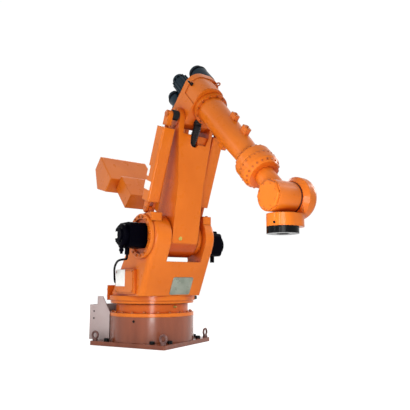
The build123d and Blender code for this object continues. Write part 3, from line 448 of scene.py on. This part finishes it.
paints = {
    "orange_paint": orange("orange_paint"),
    "brown_primer": paint(
        "brown_primer", (0.17, 0.040, 0.016), (0.23, 0.060, 0.026), rough=0.20, gloss=0.32, coat=0.10,
        stretch=(3, 3, 0.4),
    ),
    "panel_paint": paint(
        "panel_paint", (0.36, 0.27, 0.26), (0.45, 0.37, 0.36), rough=0.35, gloss=0.5, coat=0.1
    ),
    "black_motor": paint(
        "black_motor", (0.0002, 0.0002, 0.0015), (0.0006, 0.0006, 0.003), rough=0.42, gloss=0.02
    ),
    "black_steel": paint(
        "black_steel", (0.001, 0.001, 0.0015), (0.003, 0.004, 0.004), rough=0.2, gloss=0.1
    ),
    "bare_steel": paint(
        "bare_steel", (0.10, 0.040, 0.034), (0.16, 0.075, 0.064), rough=0.32, gloss=0.4, metal=0.3
    ),
}
# The fittings' orange is a darker copy with crisper edges, so that screws show on the castings; the darker
# tone is painted shade and grease in the screw sockets
shade_and_grease_fitting_paints = dict(paints)
shade_and_grease_fitting_paints["orange_paint"] = paint(
    "fitting_shade_and_grease_paint", (0.40, 0.080, 0.005), (0.50, 0.112, 0.008), rough=0.35, gloss=0.20, coat=0.20,
    edge_r=0.002, patch=20.0,
)
teal_black = paint(
    "wrist_motor_black", (0.001, 0.008, 0.014), (0.003, 0.018, 0.030), rough=0.36, gloss=0.12
)
# The lower arm's orange with a painted shadow over its hub
hub_shadowed_arm = orange("hub_shadowed_arm_paint", HUB_SHADOW_TOP)
silver = paint(
    "plain_plate", (0.15, 0.18, 0.14), (0.24, 0.27, 0.22), rough=0.3, gloss=0.5, metal=0.3, patch=12.0
)
# White of the plain labels, also used for pale plates that are painted highlights
label_and_highlight_white = paint("plain_label_and_highlight", (0.80, 0.80, 0.76), (0.90, 0.90, 0.87), rough=0.5, gloss=0.4, patch=20.0)
brass = paint("brass", (0.42, 0.34, 0.06), (0.60, 0.52, 0.14), rough=0.3, gloss=0.5, metal=0.7, patch=60.0)
rubber = paint("rubber", (0.004, 0.004, 0.005), (0.010, 0.010, 0.011), rough=0.6, gloss=0.2, patch=30.0)
seal = paint("shaft_seal", (0.035, 0.004, 0.003), (0.060, 0.008, 0.006), rough=0.6, gloss=0.2, patch=30.0)


def add_piece(name, body, slot, bm, material=None, bends=None):
    """Finished mesh as a piece that rides on a body, or, given the two ends of a bend, stays fixed where it
    is built.
    """
    mesh = bpy.data.meshes.new(name)
    bmesh.ops.recalc_face_normals(bm, faces=bm.faces)
    bm.to_mesh(mesh)
    bm.free()
    mesh.polygons.foreach_set("use_smooth", [True] * len(mesh.polygons))
    mesh.set_sharp_from_angle(angle=SHARP_EDGE)
    piece = bpy.data.objects.new(name, mesh)
    bpy.context.collection.objects.link(piece)
    mesh.materials.append(material or shade_and_grease_fitting_paints[slot])
    if bends:
        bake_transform(piece)
    else:
        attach(piece, body)


def add_screws(name, body, slot, seats, size, proud):
    """Set of equal socket-head screws as one piece."""
    bm = bmesh.new()
    for place in seats:
        cap_screw(bm, place, size, proud)
    add_piece(name, body, slot, bm)


def add_bolts(name, body, slot, seats, flat, head_h):
    """Set of equal hexagon bolts as one piece."""
    bm = bmesh.new()
    for place in seats:
        hex_bolt(bm, place, flat, head_h)
    add_piece(name, body, slot, bm)


def add_turned(name, body, slot, seats, profile, material=None):
    """Set of equal turned parts as one piece."""
    bm = bmesh.new()
    for place in seats:
        lathe(bm, place, profile)
    add_piece(name, body, slot, bm, material)


def add_plate(name, body, slot, place, size, material=None):
    """Flat plate as one piece."""
    bm = bmesh.new()
    plate(bm, place, *size)
    add_piece(name, body, slot, bm, material)


# Fittings


def round_wall(body, radius, degrees, z):
    """Seat on an upright round wall about the turning axis."""
    out = Vector((math.cos(math.radians(degrees)), math.sin(math.radians(degrees)), 0))
    return seat(body, radius * out + Vector((0, 0, z)), out)


def around(angle):
    """Direction out from the forearm's axis."""
    return Vector((0, math.cos(angle), math.sin(angle)))


# Pedestal

ANCHOR_FAR = 0.310
ANCHOR_NEAR = 0.215
FLANGE_TOP = 0.252
FLANGE_SCREW_R = 0.317
NECK_R = 0.292
NIPPLE_AT = (-20, 0.299)        # degrees round the neck, height
DRUM_PLUG_AT = (-79.7, 0.193)
BOX_SCREW_X = -0.395
BOX_SCREW_Z = (0.200, 0.256)
SOCKET_Y = (-0.130, 0, 0.130)
SOCKET_Z = 0.170
PANEL_SCREWS = (0.44, 0.23)     # spacing across and up


def dress_pedestal():
    plate_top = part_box("base_plate")[1].z
    drum_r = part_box("pedestal_drum")[1].x
    box_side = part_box("cable_box_left_panel")[1].y
    box_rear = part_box("connector_panel")[0].x
    spots = [(sx * ANCHOR_FAR, sy * ANCHOR_NEAR) for sx in (-1, 1) for sy in (-1, 1)]
    spots += [(sx * ANCHOR_NEAR, sy * ANCHOR_FAR) for sx in (-1, 1) for sy in (-1, 1)]
    seats = [Matrix.Translation((x, y, plate_top)) for x, y in spots]
    add_screws("hold_down_screws", "base", "black_steel", seats, M27, proud=0.022)
    seats = ring_of(Matrix.Translation((0, 0, FLANGE_TOP)), FLANGE_SCREW_R, count=20, start=0.1)
    add_screws("base_flange_screws", "base", "orange_paint", seats, M14, proud=0.012)
    nipple = round_wall("base", NECK_R, *NIPPLE_AT)
    add_turned("grease_nipple", "base", "bare_steel", [nipple], NIPPLE, brass)
    plug = round_wall("base", drum_r, *DRUM_PLUG_AT)
    add_turned("drum_plug", "base", "black_steel", [plug], DRUM_PLUG)
    seats = [
        seat("base", (BOX_SCREW_X, side * box_side, z), (0, side, 0))
        for side in (-1, 1)
        for z in BOX_SCREW_Z
    ]
    add_screws("cable_box_screws", "base", "black_steel", seats, M8, proud=0.004)
    seats = [seat("base", (box_rear, y, SOCKET_Z), (-1, 0, 0)) for y in SOCKET_Y]
    add_turned("socket_nuts", "base", "black_steel", seats, SOCKET_NUT)
    seats = beside(seat("base", (box_rear, 0, SOCKET_Z), (-1, 0, 0)), corners(*PANEL_SCREWS))
    add_screws("connector_panel_screws", "base", "black_steel", seats, M8, proud=0.006)


# Drives, turntable and brackets

RIGHT_GEAR_FACE = -0.338
LEFT_GEAR_FACE = 0.249
RIGHT_GEAR_SCREW_R = 0.147
LEFT_GEAR_SCREW_R = 0.116
LEFT_DRIVE_DROP = 0.040
RIGHT_CAP_FACE = -0.504
LEFT_CAP_FACE = 0.403
CAP_SCREW_R = 0.061
MOTOR_END_L = 0.012
# Offset of the painted highlight plate on the right motor's end cover
MOTOR_END_HIGHLIGHT_X = -0.032          # from the motor's axis
SENSOR_Y = -0.484
SENSOR_DROP = 0.080
TERMINAL_Y = 0.306
TERMINAL_RISE = 0.092
TURNTABLE_R = 0.348
TURNTABLE_LUG_R = 0.366
STOP_AT = (53, 0.364)           # degrees round the turntable, height
LUG_SCREW_DEGREES = (222, 234)
LUG_SCREW_Z = (0.376, 0.430)
PAD_X = 0.470
PAD_TOP = 0.995
PAD_SCREW_Y = 0.026
ANCHOR_PIN_HALF = 0.0335


def dress_drives():
    right = SHOULDER
    left = right - Vector((0, 0, LEFT_DRIVE_DROP))
    flange = seat("swivel", right + Vector((0, RIGHT_GEAR_FACE, 0)), (0, -1, 0))
    seats = ring_of(flange, RIGHT_GEAR_SCREW_R, count=16, start=0.1)
    add_screws("right_gear_screws", "swivel", "orange_paint", seats, M12, proud=0.008)
    flange = seat("swivel", left + Vector((0, LEFT_GEAR_FACE, 0)), (0, 1, 0))
    seats = ring_of(flange, LEFT_GEAR_SCREW_R, count=12, start=0.1)
    add_screws("left_gear_screws", "swivel", "orange_paint", seats, M10, proud=0.007)
    caps = (("right", right, RIGHT_CAP_FACE, -1), ("left", left, LEFT_CAP_FACE, 1))
    for side, axis, face, way in caps:
        cap = seat("swivel", axis + Vector((0, face, 0)), (0, way, 0))
        seats = ring_of(cap, CAP_SCREW_R, count=4, start=math.pi / 4)
        add_screws(f"{side}_motor_cap_screws", "swivel", "black_steel", seats, M8, proud=0.006)
    # Pale plate on the end cover: a painted highlight where the cover catches a reflection
    end = seat("swivel", right + Vector((MOTOR_END_HIGHLIGHT_X, RIGHT_CAP_FACE - MOTOR_END_L, 0)), (0, -1, 0))
    add_plate("motor_end_highlight", "swivel", "panel_paint", end, MOTOR_END_HIGHLIGHT, label_and_highlight_white)
    sensor = seat("swivel", right + Vector((0, SENSOR_Y, -SENSOR_DROP)), (0, 0, -1))
    add_turned("sensor_plug", "swivel", "black_motor", [sensor], SENSOR_PLUG)
    terminal = seat("swivel", left + Vector((0, TERMINAL_Y, TERMINAL_RISE)), (0, 0, 1))
    add_plate("elbow_motor_terminal", "swivel", "black_motor", terminal, MOTOR_TERMINAL)


# Junction box and front plate

JUNCTION_FACE = -0.332
JUNCTION_COVER_AT = (0.1375, JUNCTION_FACE, 0.493)
JUNCTION_SCREWS = (0.252, 0.146)
JUNCTION_SCREW_H = 0.004        # above the cover
JUNCTION_LABEL_AT = (0.078, JUNCTION_FACE - JUNCTION_COVER_T, 0.520)
CHEEK_R = 0.168
WALL_FOOT = Vector((0.345, 0, 0.384))
FRONT_PLATE_RISE = 0.083        # along the wall from its foot
FRONT_PLATE_Y = 0.030
PLATE_RIVETS = (0.162, 0.124)


def dress_frame_walls():
    cover = seat("swivel", JUNCTION_COVER_AT, (0, -1, 0))
    add_plate("junction_cover", "swivel", "orange_paint", cover, JUNCTION_COVER, paints["orange_paint"])
    seats = beside(cover, corners(*JUNCTION_SCREWS))
    proud = JUNCTION_COVER_T + JUNCTION_SCREW_H
    add_screws("junction_screws", "swivel", "orange_paint", seats, M8, proud)
    label = seat("swivel", JUNCTION_LABEL_AT, (0, -1, 0))
    add_plate("junction_label", "swivel", "panel_paint", label, JUNCTION_LABEL, label_and_highlight_white)
    # The front wall leaves its foot and touches the cheek's round top
    rise = SHOULDER - WALL_FOOT
    slope = math.atan2(rise.x, rise.z) + math.asin(CHEEK_R / rise.length)
    along = Vector((math.sin(slope), 0, math.cos(slope)))
    out = Vector((math.cos(slope), 0, -math.sin(slope)))
    wall = seat("swivel", WALL_FOOT + FRONT_PLATE_RISE * along + Vector((0, FRONT_PLATE_Y, 0)), out)
    add_plate("front_plate", "swivel", "bare_steel", wall, FRONT_PLATE, silver)
    seats = beside(wall, corners(*PLATE_RIVETS))
    add_turned("front_plate_rivets", "swivel", "bare_steel", seats, RIVET, silver)


def dress_turntable():
    stop = round_wall("swivel", TURNTABLE_R, *STOP_AT)
    add_plate("turn_stop", "swivel", "black_steel", stop, TURN_STOP)
    seats = [
        round_wall("swivel", TURNTABLE_LUG_R, degrees, z)
        for degrees in LUG_SCREW_DEGREES
        for z in LUG_SCREW_Z
    ]
    add_screws("stop_lug_screws", "swivel", "orange_paint", seats, M14, proud=0.006)


def dress_brackets():
    for side, middle in BALANCER_Y.items():
        pad = seat("swivel", (PAD_X, middle, PAD_TOP), (0, 0, 1))
        seats = beside(pad, [(0, -PAD_SCREW_Y), (0, PAD_SCREW_Y)])
        add_screws(f"{side}_bracket_screws", "swivel", "orange_paint", seats, M14, proud=0.010)
        seats = [
            seat("swivel", BALANCER_ANCHOR + Vector((0, middle + way * ANCHOR_PIN_HALF, 0)), (0, way, 0))
            for way in (-1, 1)
        ]
        add_turned(f"{side}_anchor_pin_caps", "swivel", "orange_paint", seats, ANCHOR_PIN_CAP)


# Lower arm

ARM_PLUG_AT = (0.520, -0.075, 0.839)
PRONG_CAP_FACE = {"right": -0.200, "left": 0.121}
PRONG_CAP_SCREW_R = 0.066
ROD_HEAD_HALF = 0.020
BOOT_R = 0.034
BOOT_RIB = 0.004
BOOT_RIBS = 8
BOOT_GAP = 0.001
# Ribbed sleeves: control points in the lower arm's home pose
CONDUIT_R = 0.029
CONDUIT_RIB = 0.0022
CONDUIT = [
    Vector((0.464, -0.041, 1.536)),
    Vector((0.470, -0.041, 1.600)),
    Vector((0.550, -0.041, 1.668)),
    Vector((0.505, -0.041, 1.728)),
]
SLEEVE_R = 0.0235
SLEEVE_RIB = 0.0018
SLEEVE = [
    Vector((0.272, -0.104, 1.836)),
    Vector((0.342, -0.124, 1.785)),
    Vector((0.282, -0.124, 1.705)),
    Vector((0.330, -0.120, 1.606)),
]
SLEEVE_RIBS = 13


def dress_fork():
    plug = seat("lower_arm", ARM_PLUG_AT, (1, 0, 0))
    add_turned("arm_plug", "lower_arm", "bare_steel", [plug], ARM_PLUG, brass)
    for side, cap_y in PRONG_CAP_FACE.items():
        way = math.copysign(1, cap_y)
        cap = seat("lower_arm", (ELBOW.x, cap_y, ELBOW.z), (0, way, 0))
        seats = ring_of(cap, PRONG_CAP_SCREW_R, count=8, start=math.pi / 8)
        add_screws(f"{side}_elbow_cap_screws", "lower_arm", "orange_paint", seats, M10, proud=0.0025)
        pin_end = Vector((0, BALANCER_Y[side] + way * ROD_HEAD_HALF, 0))
        pin = seat("lower_arm", BALANCER_PIN + pin_end, (0, way, 0))
        add_turned(f"{side}_rod_pin_keeper", "lower_arm", "orange_paint", [pin], ROD_PIN_KEEPER)
        boot_l = abs(BALANCER_Y[side]) - ROD_HEAD_HALF - abs(cap_y) - BOOT_GAP
        ribs = [(BOOT_R + BOOT_RIB * (i % 2), boot_l * i / BOOT_RIBS) for i in range(BOOT_RIBS + 1)]
        boot = seat("lower_arm", BALANCER_PIN + Vector((0, cap_y, 0)), (0, way, 0))
        add_turned(f"{side}_rod_pin_boot", "lower_arm", "black_motor", [boot], ribs, rubber)


def add_conduits():
    """Ribbed sleeves between the lower arm and the forearm, built in the stored pose."""
    bm = bmesh.new()
    corrugated(bm, on_arm, CONDUIT, CONDUIT_R, CONDUIT_RIB, SLEEVE_RIBS)
    ends = ("lower_arm", "forearm", on_arm @ CONDUIT[1], on_arm @ CONDUIT[3])
    add_piece("elbow_conduit", None, "black_motor", bm, rubber, ends)
    bm = bmesh.new()
    corrugated(bm, on_arm, SLEEVE, SLEEVE_R, SLEEVE_RIB, SLEEVE_RIBS)
    ends = ("forearm", "lower_arm", on_arm @ SLEEVE[0], on_arm @ SLEEVE[3])
    add_piece("motor_sleeve", None, "black_motor", bm, rubber, ends)


# Balancers and crank

BALANCER_HALF = 0.052
BALANCER_LABEL_AT = (-0.004, 0.180)     # across and along the housing, from its anchor
# Place of the painted highlight strip, above the label
BALANCER_HIGHLIGHT_STRIP_AT = (-0.030, 0.285)
COUNTERWEIGHT_BOLTS_AT = SHOULDER + Vector((-0.7675, 0.140, -0.163))
CRANK_PIN_FACE = 0.0674
LINK_PIN_FACE = 0.1063
COUNTERWEIGHT_BOLTS = (0.060, 0.060)
BOLT_FLAT = 0.013
BOLT_H = 0.014


def mark_balancer_label_and_highlight():
    """A plain label and a pale strip, a painted highlight, on the right housing's outer face."""
    face = BALANCER_Y["right"] - BALANCER_HALF
    bm = bmesh.new()
    for (x, z), size in ((BALANCER_LABEL_AT, BALANCER_LABEL), (BALANCER_HIGHLIGHT_STRIP_AT, BALANCER_HIGHLIGHT_STRIP)):
        plate(bm, seat("right_balancer", (x, face, z), (0, -1, 0)), *size)
    add_piece("balancer_label_and_highlight_strip", "right_balancer", "panel_paint", bm, label_and_highlight_white)


def dress_crank():
    seats = beside(seat("crank", COUNTERWEIGHT_BOLTS_AT, (0, 1, 0)), corners(*COUNTERWEIGHT_BOLTS))
    add_bolts("counterweight_bolts", "crank", "black_steel", seats, BOLT_FLAT, BOLT_H)
    pin = seat("crank", (SHOULDER.x - CRANK_ARM, CRANK_PIN_FACE, SHOULDER.z), (0, -1, 0))
    add_turned("crank_pin_keeper", "crank", "orange_paint", [pin], LINK_PIN_KEEPER)
    pin = seat("forearm", (ELBOW.x - CRANK_ARM, LINK_PIN_FACE, ELBOW.z), (0, 1, 0))
    add_turned("link_pin_keeper", "forearm", "orange_paint", [pin], LINK_PIN_KEEPER)


# Forearm

CASE_REAR_X = 0.280
# Screws on the case's rear face: across and above the elbow
MOTOR_PLATE_SCREWS = [(0.125, 0.118), (0.0, 0.118), (-0.100, 0.120), (-0.108, 0.180), (-0.110, 0.235)]
# Motors on the rear face: Y, height above the elbow, radius, length
WRIST_MOTORS = {
    "roll": (0.040, 0.265, 0.070, 0.170),
    "bend": (-0.090, 0.175, 0.060, 0.150),
    "twist": (-0.086, 0.046, 0.057, 0.120),
}
WRIST_MOTOR_END_L = 0.044
WRIST_MOTOR_SCREW_IN = 0.027
# Band round a wrist motor's end: thickness, length, edge and inner reach
BAND_T = 0.003
BAND_L = 0.020
BAND_EDGE = 0.004
BAND_IN = 0.012
# Eyebolts on the case: place from the elbow, degrees round the forearm's axis, slot
CASE_EYES = {
    "right": (Vector((-0.060, -0.1363, 0.2655)), 160, "black_steel"),
    "left": (Vector((-0.062, 0.0562, 0.3002)), 45, "orange_paint"),
}
EYE_RISE = 0.028
EYE_R = 0.016
EYE_WIRE_R = 0.0055
COLLAR_X = 0.534
COLLAR_SCREW_R = 0.1175
TUBE_LUG_TOP = 0.130
UPPER_LUG_X = (0.803, 0.971)
LOWER_LUG_X = 0.839
RING_SPLIT_X = 1.2432
RING_HALF = 0.092
RING_R = 0.128
RING_CONE_L = 0.034
RING_CONE_DROP = 0.024
RING_SCREWS = 20


def dress_gear_case():
    rear = seat("forearm", (CASE_REAR_X, 0, ELBOW.z), (-1, 0, 0))
    seats = beside(rear, MOTOR_PLATE_SCREWS)
    add_screws("motor_plate_screws", "forearm", "orange_paint", seats, M12, proud=0.009)
    for name, (y, up, radius, length) in WRIST_MOTORS.items():
        end = seat("forearm", (CASE_REAR_X - length, y, ELBOW.z + up), (-1, 0, 0))
        outer = radius + BAND_T
        band = [(outer, -BAND_L), (outer, -BAND_EDGE), (radius, 0), (radius - BAND_IN, 0)]
        add_turned(f"{name}_motor_collar", "forearm", "black_motor", [end], band)
        cover = end @ Matrix.Translation((0, 0, WRIST_MOTOR_END_L))
        seats = ring_of(cover, radius - WRIST_MOTOR_SCREW_IN, count=4, start=math.pi / 4)
        add_screws(f"{name}_motor_screws", "forearm", "black_steel", seats, M6, proud=0.004)
    for side, (at, degrees, slot) in CASE_EYES.items():
        foot = seat("forearm", ELBOW + at, around(math.radians(degrees)))
        bm = bmesh.new()
        lathe(bm, foot, EYE_FOOT)
        torus(bm, foot @ Matrix.Translation((0, 0, EYE_RISE)), EYE_R, EYE_WIRE_R)
        add_piece(f"{side}_case_eyebolt", "forearm", slot, bm)


def cone_seats(body, way):
    """Seats around the coned shoulder of the roll ring's rear (-1) or front (1) half."""
    middle = Vector((RING_SPLIT_X + way * (RING_HALF - RING_CONE_L / 2), 0, WRIST.z))
    seats = []
    for i in range(RING_SCREWS):
        out = around(2 * math.pi * i / RING_SCREWS)
        normal = RING_CONE_L * out + Vector((way * RING_CONE_DROP, 0, 0))
        seats.append(seat(body, middle + (RING_R - RING_CONE_DROP / 2) * out, normal))
    return seats


def dress_tube():
    collar = seat("forearm", (COLLAR_X, 0, WRIST.z), (1, 0, 0))
    seats = ring_of(collar, COLLAR_SCREW_R, count=12, start=0.1)
    add_screws("collar_screws", "forearm", "orange_paint", seats, M10, proud=0.008)
    seats = cone_seats("forearm", -1)
    add_screws("end_ring_screws", "forearm", "orange_paint", seats, M10, proud=0.004)
    lugs = [seat("forearm", (x, 0, WRIST.z + TUBE_LUG_TOP), (0, 0, 1)) for x in UPPER_LUG_X]
    lugs.append(seat("forearm", (LOWER_LUG_X, 0, WRIST.z - TUBE_LUG_TOP), (0, 0, -1)))
    add_screws("tube_lug_screws", "forearm", "orange_paint", lugs, M14, proud=0.008)


# Wrist

RIM_SCREW_X = RING_SPLIT_X + 0.014
RIM_SCREWS = 24
END_COVER_FACE = -0.124
END_COVER_SCREW_R = 0.072
SEAL_Y = 0.064
DOME_FACE = 0.188
DOME_SCREW_R = 0.074
HOUSING_PLUG_AT = (1.720, -0.0945, WRIST.z + 0.026)
HOUSING_PLUG_OUT = (0, -0.965, 0.262)


def dress_wrist():
    seats = cone_seats("wrist", 1)
    add_screws("roll_ring_screws", "wrist", "orange_paint", seats, M10, proud=0.004)
    seats = []
    for i in range(RIM_SCREWS):
        out = around(2 * math.pi * i / RIM_SCREWS)
        seats.append(seat("wrist", Vector((RIM_SCREW_X, 0, WRIST.z)) + RING_R * out, out))
    add_screws("roll_rim_screws", "wrist", "orange_paint", seats, M8, proud=0.003)
    cover = seat("wrist", (WRIST.x, END_COVER_FACE, WRIST.z), (0, -1, 0))
    seats = ring_of(cover, END_COVER_SCREW_R, count=8, start=math.pi / 8)
    add_screws("wrist_cover_screws", "wrist", "orange_paint", seats, M6, proud=0.002)
    band = seat("wrist", (WRIST.x, SEAL_Y, WRIST.z), (0, 1, 0))
    add_turned("bend_seal", "wrist", "black_motor", [band], SEAL_LIP, seal)
    dome = seat("tool_head", (WRIST.x, DOME_FACE, WRIST.z), (0, 1, 0))
    seats = ring_of(dome, DOME_SCREW_R, count=8, start=0.2)
    add_screws("dome_screws", "tool_head", "orange_paint", seats, M10, proud=0.004)
    side = seat("tool_head", HOUSING_PLUG_AT, HOUSING_PLUG_OUT)
    add_turned("tool_housing_plug", "tool_head", "black_steel", [side], HOUSING_PLUG)


# Studio

ROOM_LIGHT = 0.51
BACKDROP_WHITE = 1.02
FLOOR_WHITE = 1.89
FLOOR_WHITE_SHARE = 0.4         # the rest shows the object's shadow
FLOOR_SIZE = 40
FLOOR_Z = -0.001
FLOOR_GREY = (0.8, 0.8, 0.8, 1)
FLOOR_ROUGH = 0.9
LIGHT_AIM = Vector((0, 0, 0.9))
# Light panels: degrees round the turning axis, distance, height, width, upright size, watts
SOFTBOXES = {
    "key_strip": (-78, 6.0, 2.6, 0.5, 3.0, 80),
    "edge_strip": (-112, 5.0, 2.4, 0.15, 2.4, 40),
    "rear_panel": (-140, 5.0, 3.2, 1.6, 1.6, 16),
    "back_panel": (130, 4.5, 5.0, 2.2, 2.2, 110),
    "wrist_card": (-40, 2.2, 0.9, 0.4, 0.4, 4.5),
    "side_panel": (42, 5.0, 3.4, 2.0, 2.2, 165),
    "front_card": (-56, 2.2, 0.3, 0.45, 0.5, 14),
}


def add_camera():
    """Camera at the photograph's viewpoint."""
    data = bpy.data.cameras.new("photo_camera")
    data.sensor_width = SENSOR
    data.lens = FOCAL_PIXELS / IMAGE_PIXELS * SENSOR
    camera = bpy.data.objects.new("photo_camera", data)
    bpy.context.collection.objects.link(camera)
    flat = math.cos(CAMERA_PITCH)
    ahead = Vector((flat * math.cos(CAMERA_YAW), flat * math.sin(CAMERA_YAW), math.sin(CAMERA_PITCH)))
    camera.location = CAMERA_AT
    camera.rotation_euler = ahead.to_track_quat("-Z", "Y").to_euler()
    bpy.context.scene.camera = camera


def add_softbox(name, degrees, distance, height, width, tall, power):
    """Upright light panel around the turning axis, facing the arm's middle."""
    data = bpy.data.lights.new(name, "AREA")
    data.shape = "RECTANGLE"
    data.size = width
    data.size_y = tall
    data.energy = power
    lamp = bpy.data.objects.new(name, data)
    bpy.context.collection.objects.link(lamp)
    angle = math.radians(degrees)
    lamp.location = (distance * math.cos(angle), distance * math.sin(angle), height)
    aim = LIGHT_AIM - lamp.location
    lamp.rotation_euler = aim.to_track_quat("-Z", "Y").to_euler()


def white_where_seen(tree, other, strength, share):
    """Plain white, by that share, to camera, reflections and glass; the other shader to all other rays."""
    nodes, links = tree.nodes, tree.links
    path = nodes.new("ShaderNodeLightPath")
    rays = path.outputs["Is Camera Ray"]
    for kind in ("Is Glossy Ray", "Is Transmission Ray"):
        either = nodes.new("ShaderNodeMath")
        either.operation = "MAXIMUM"
        links.new(rays, either.inputs[0])
        links.new(path.outputs[kind], either.inputs[1])
        rays = either.outputs["Value"]
    seen = nodes.new("ShaderNodeMath")
    seen.operation = "MULTIPLY"
    seen.inputs[1].default_value = share
    links.new(rays, seen.inputs[0])
    white = nodes.new("ShaderNodeEmission")
    white.inputs["Strength"].default_value = strength
    mix = nodes.new("ShaderNodeMixShader")
    links.new(seen.outputs["Value"], mix.inputs["Fac"])
    links.new(other, mix.inputs[1])
    links.new(white.outputs["Emission"], mix.inputs[2])
    return mix.outputs["Shader"]


def add_floor():
    """Pale floor just under the part, with its shadow."""
    bpy.ops.mesh.primitive_plane_add(size=FLOOR_SIZE, location=(0, 0, FLOOR_Z))
    floor = bpy.context.object
    floor.name = "floor"
    material, nodes, links, shader = material_with("floor")
    shader.inputs["Base Color"].default_value = FLOOR_GREY
    shader.inputs["Roughness"].default_value = FLOOR_ROUGH
    pale = white_where_seen(material.node_tree, shader.outputs["BSDF"], FLOOR_WHITE, FLOOR_WHITE_SHARE)
    links.new(pale, nodes["Material Output"].inputs["Surface"])
    floor.data.materials.append(material)


def add_world():
    """Even room light in front of a white backdrop."""
    world = bpy.data.worlds.new("studio")
    bpy.context.scene.world = world
    world.use_nodes = True
    nodes, links = world.node_tree.nodes, world.node_tree.links
    room = nodes["Background"]
    room.inputs["Color"].default_value = (1, 1, 1, 1)
    room.inputs["Strength"].default_value = ROOM_LIGHT
    shader = white_where_seen(world.node_tree, room.outputs["Background"], BACKDROP_WHITE, 1.0)
    links.new(shader, nodes["World Output"].inputs["Surface"])


# The lower arm gets the paint with the painted hub shadow
own_finish = {"lower_arm": hub_shadowed_arm}
own_finish.update({f"{axis}_motor": teal_black for axis in ("roll", "bend", "twist")})
for part in frame["record"]["subparts"]:
    node = frame["nodes"][part["node"]]
    node.data.materials.clear()
    node.data.materials.append(own_finish.get(part["node"], paints[part["material_slot"]]))

dress_pedestal()
dress_drives()
dress_frame_walls()
dress_turntable()
dress_brackets()
dress_fork()
add_conduits()
mark_balancer_label_and_highlight()
dress_crank()
dress_gear_case()
dress_tube()
dress_wrist()
add_camera()
add_floor()
add_world()
for light, setting in SOFTBOXES.items():
    add_softbox(light, *setting)
bpy.context.scene.view_settings.view_transform = "Standard"
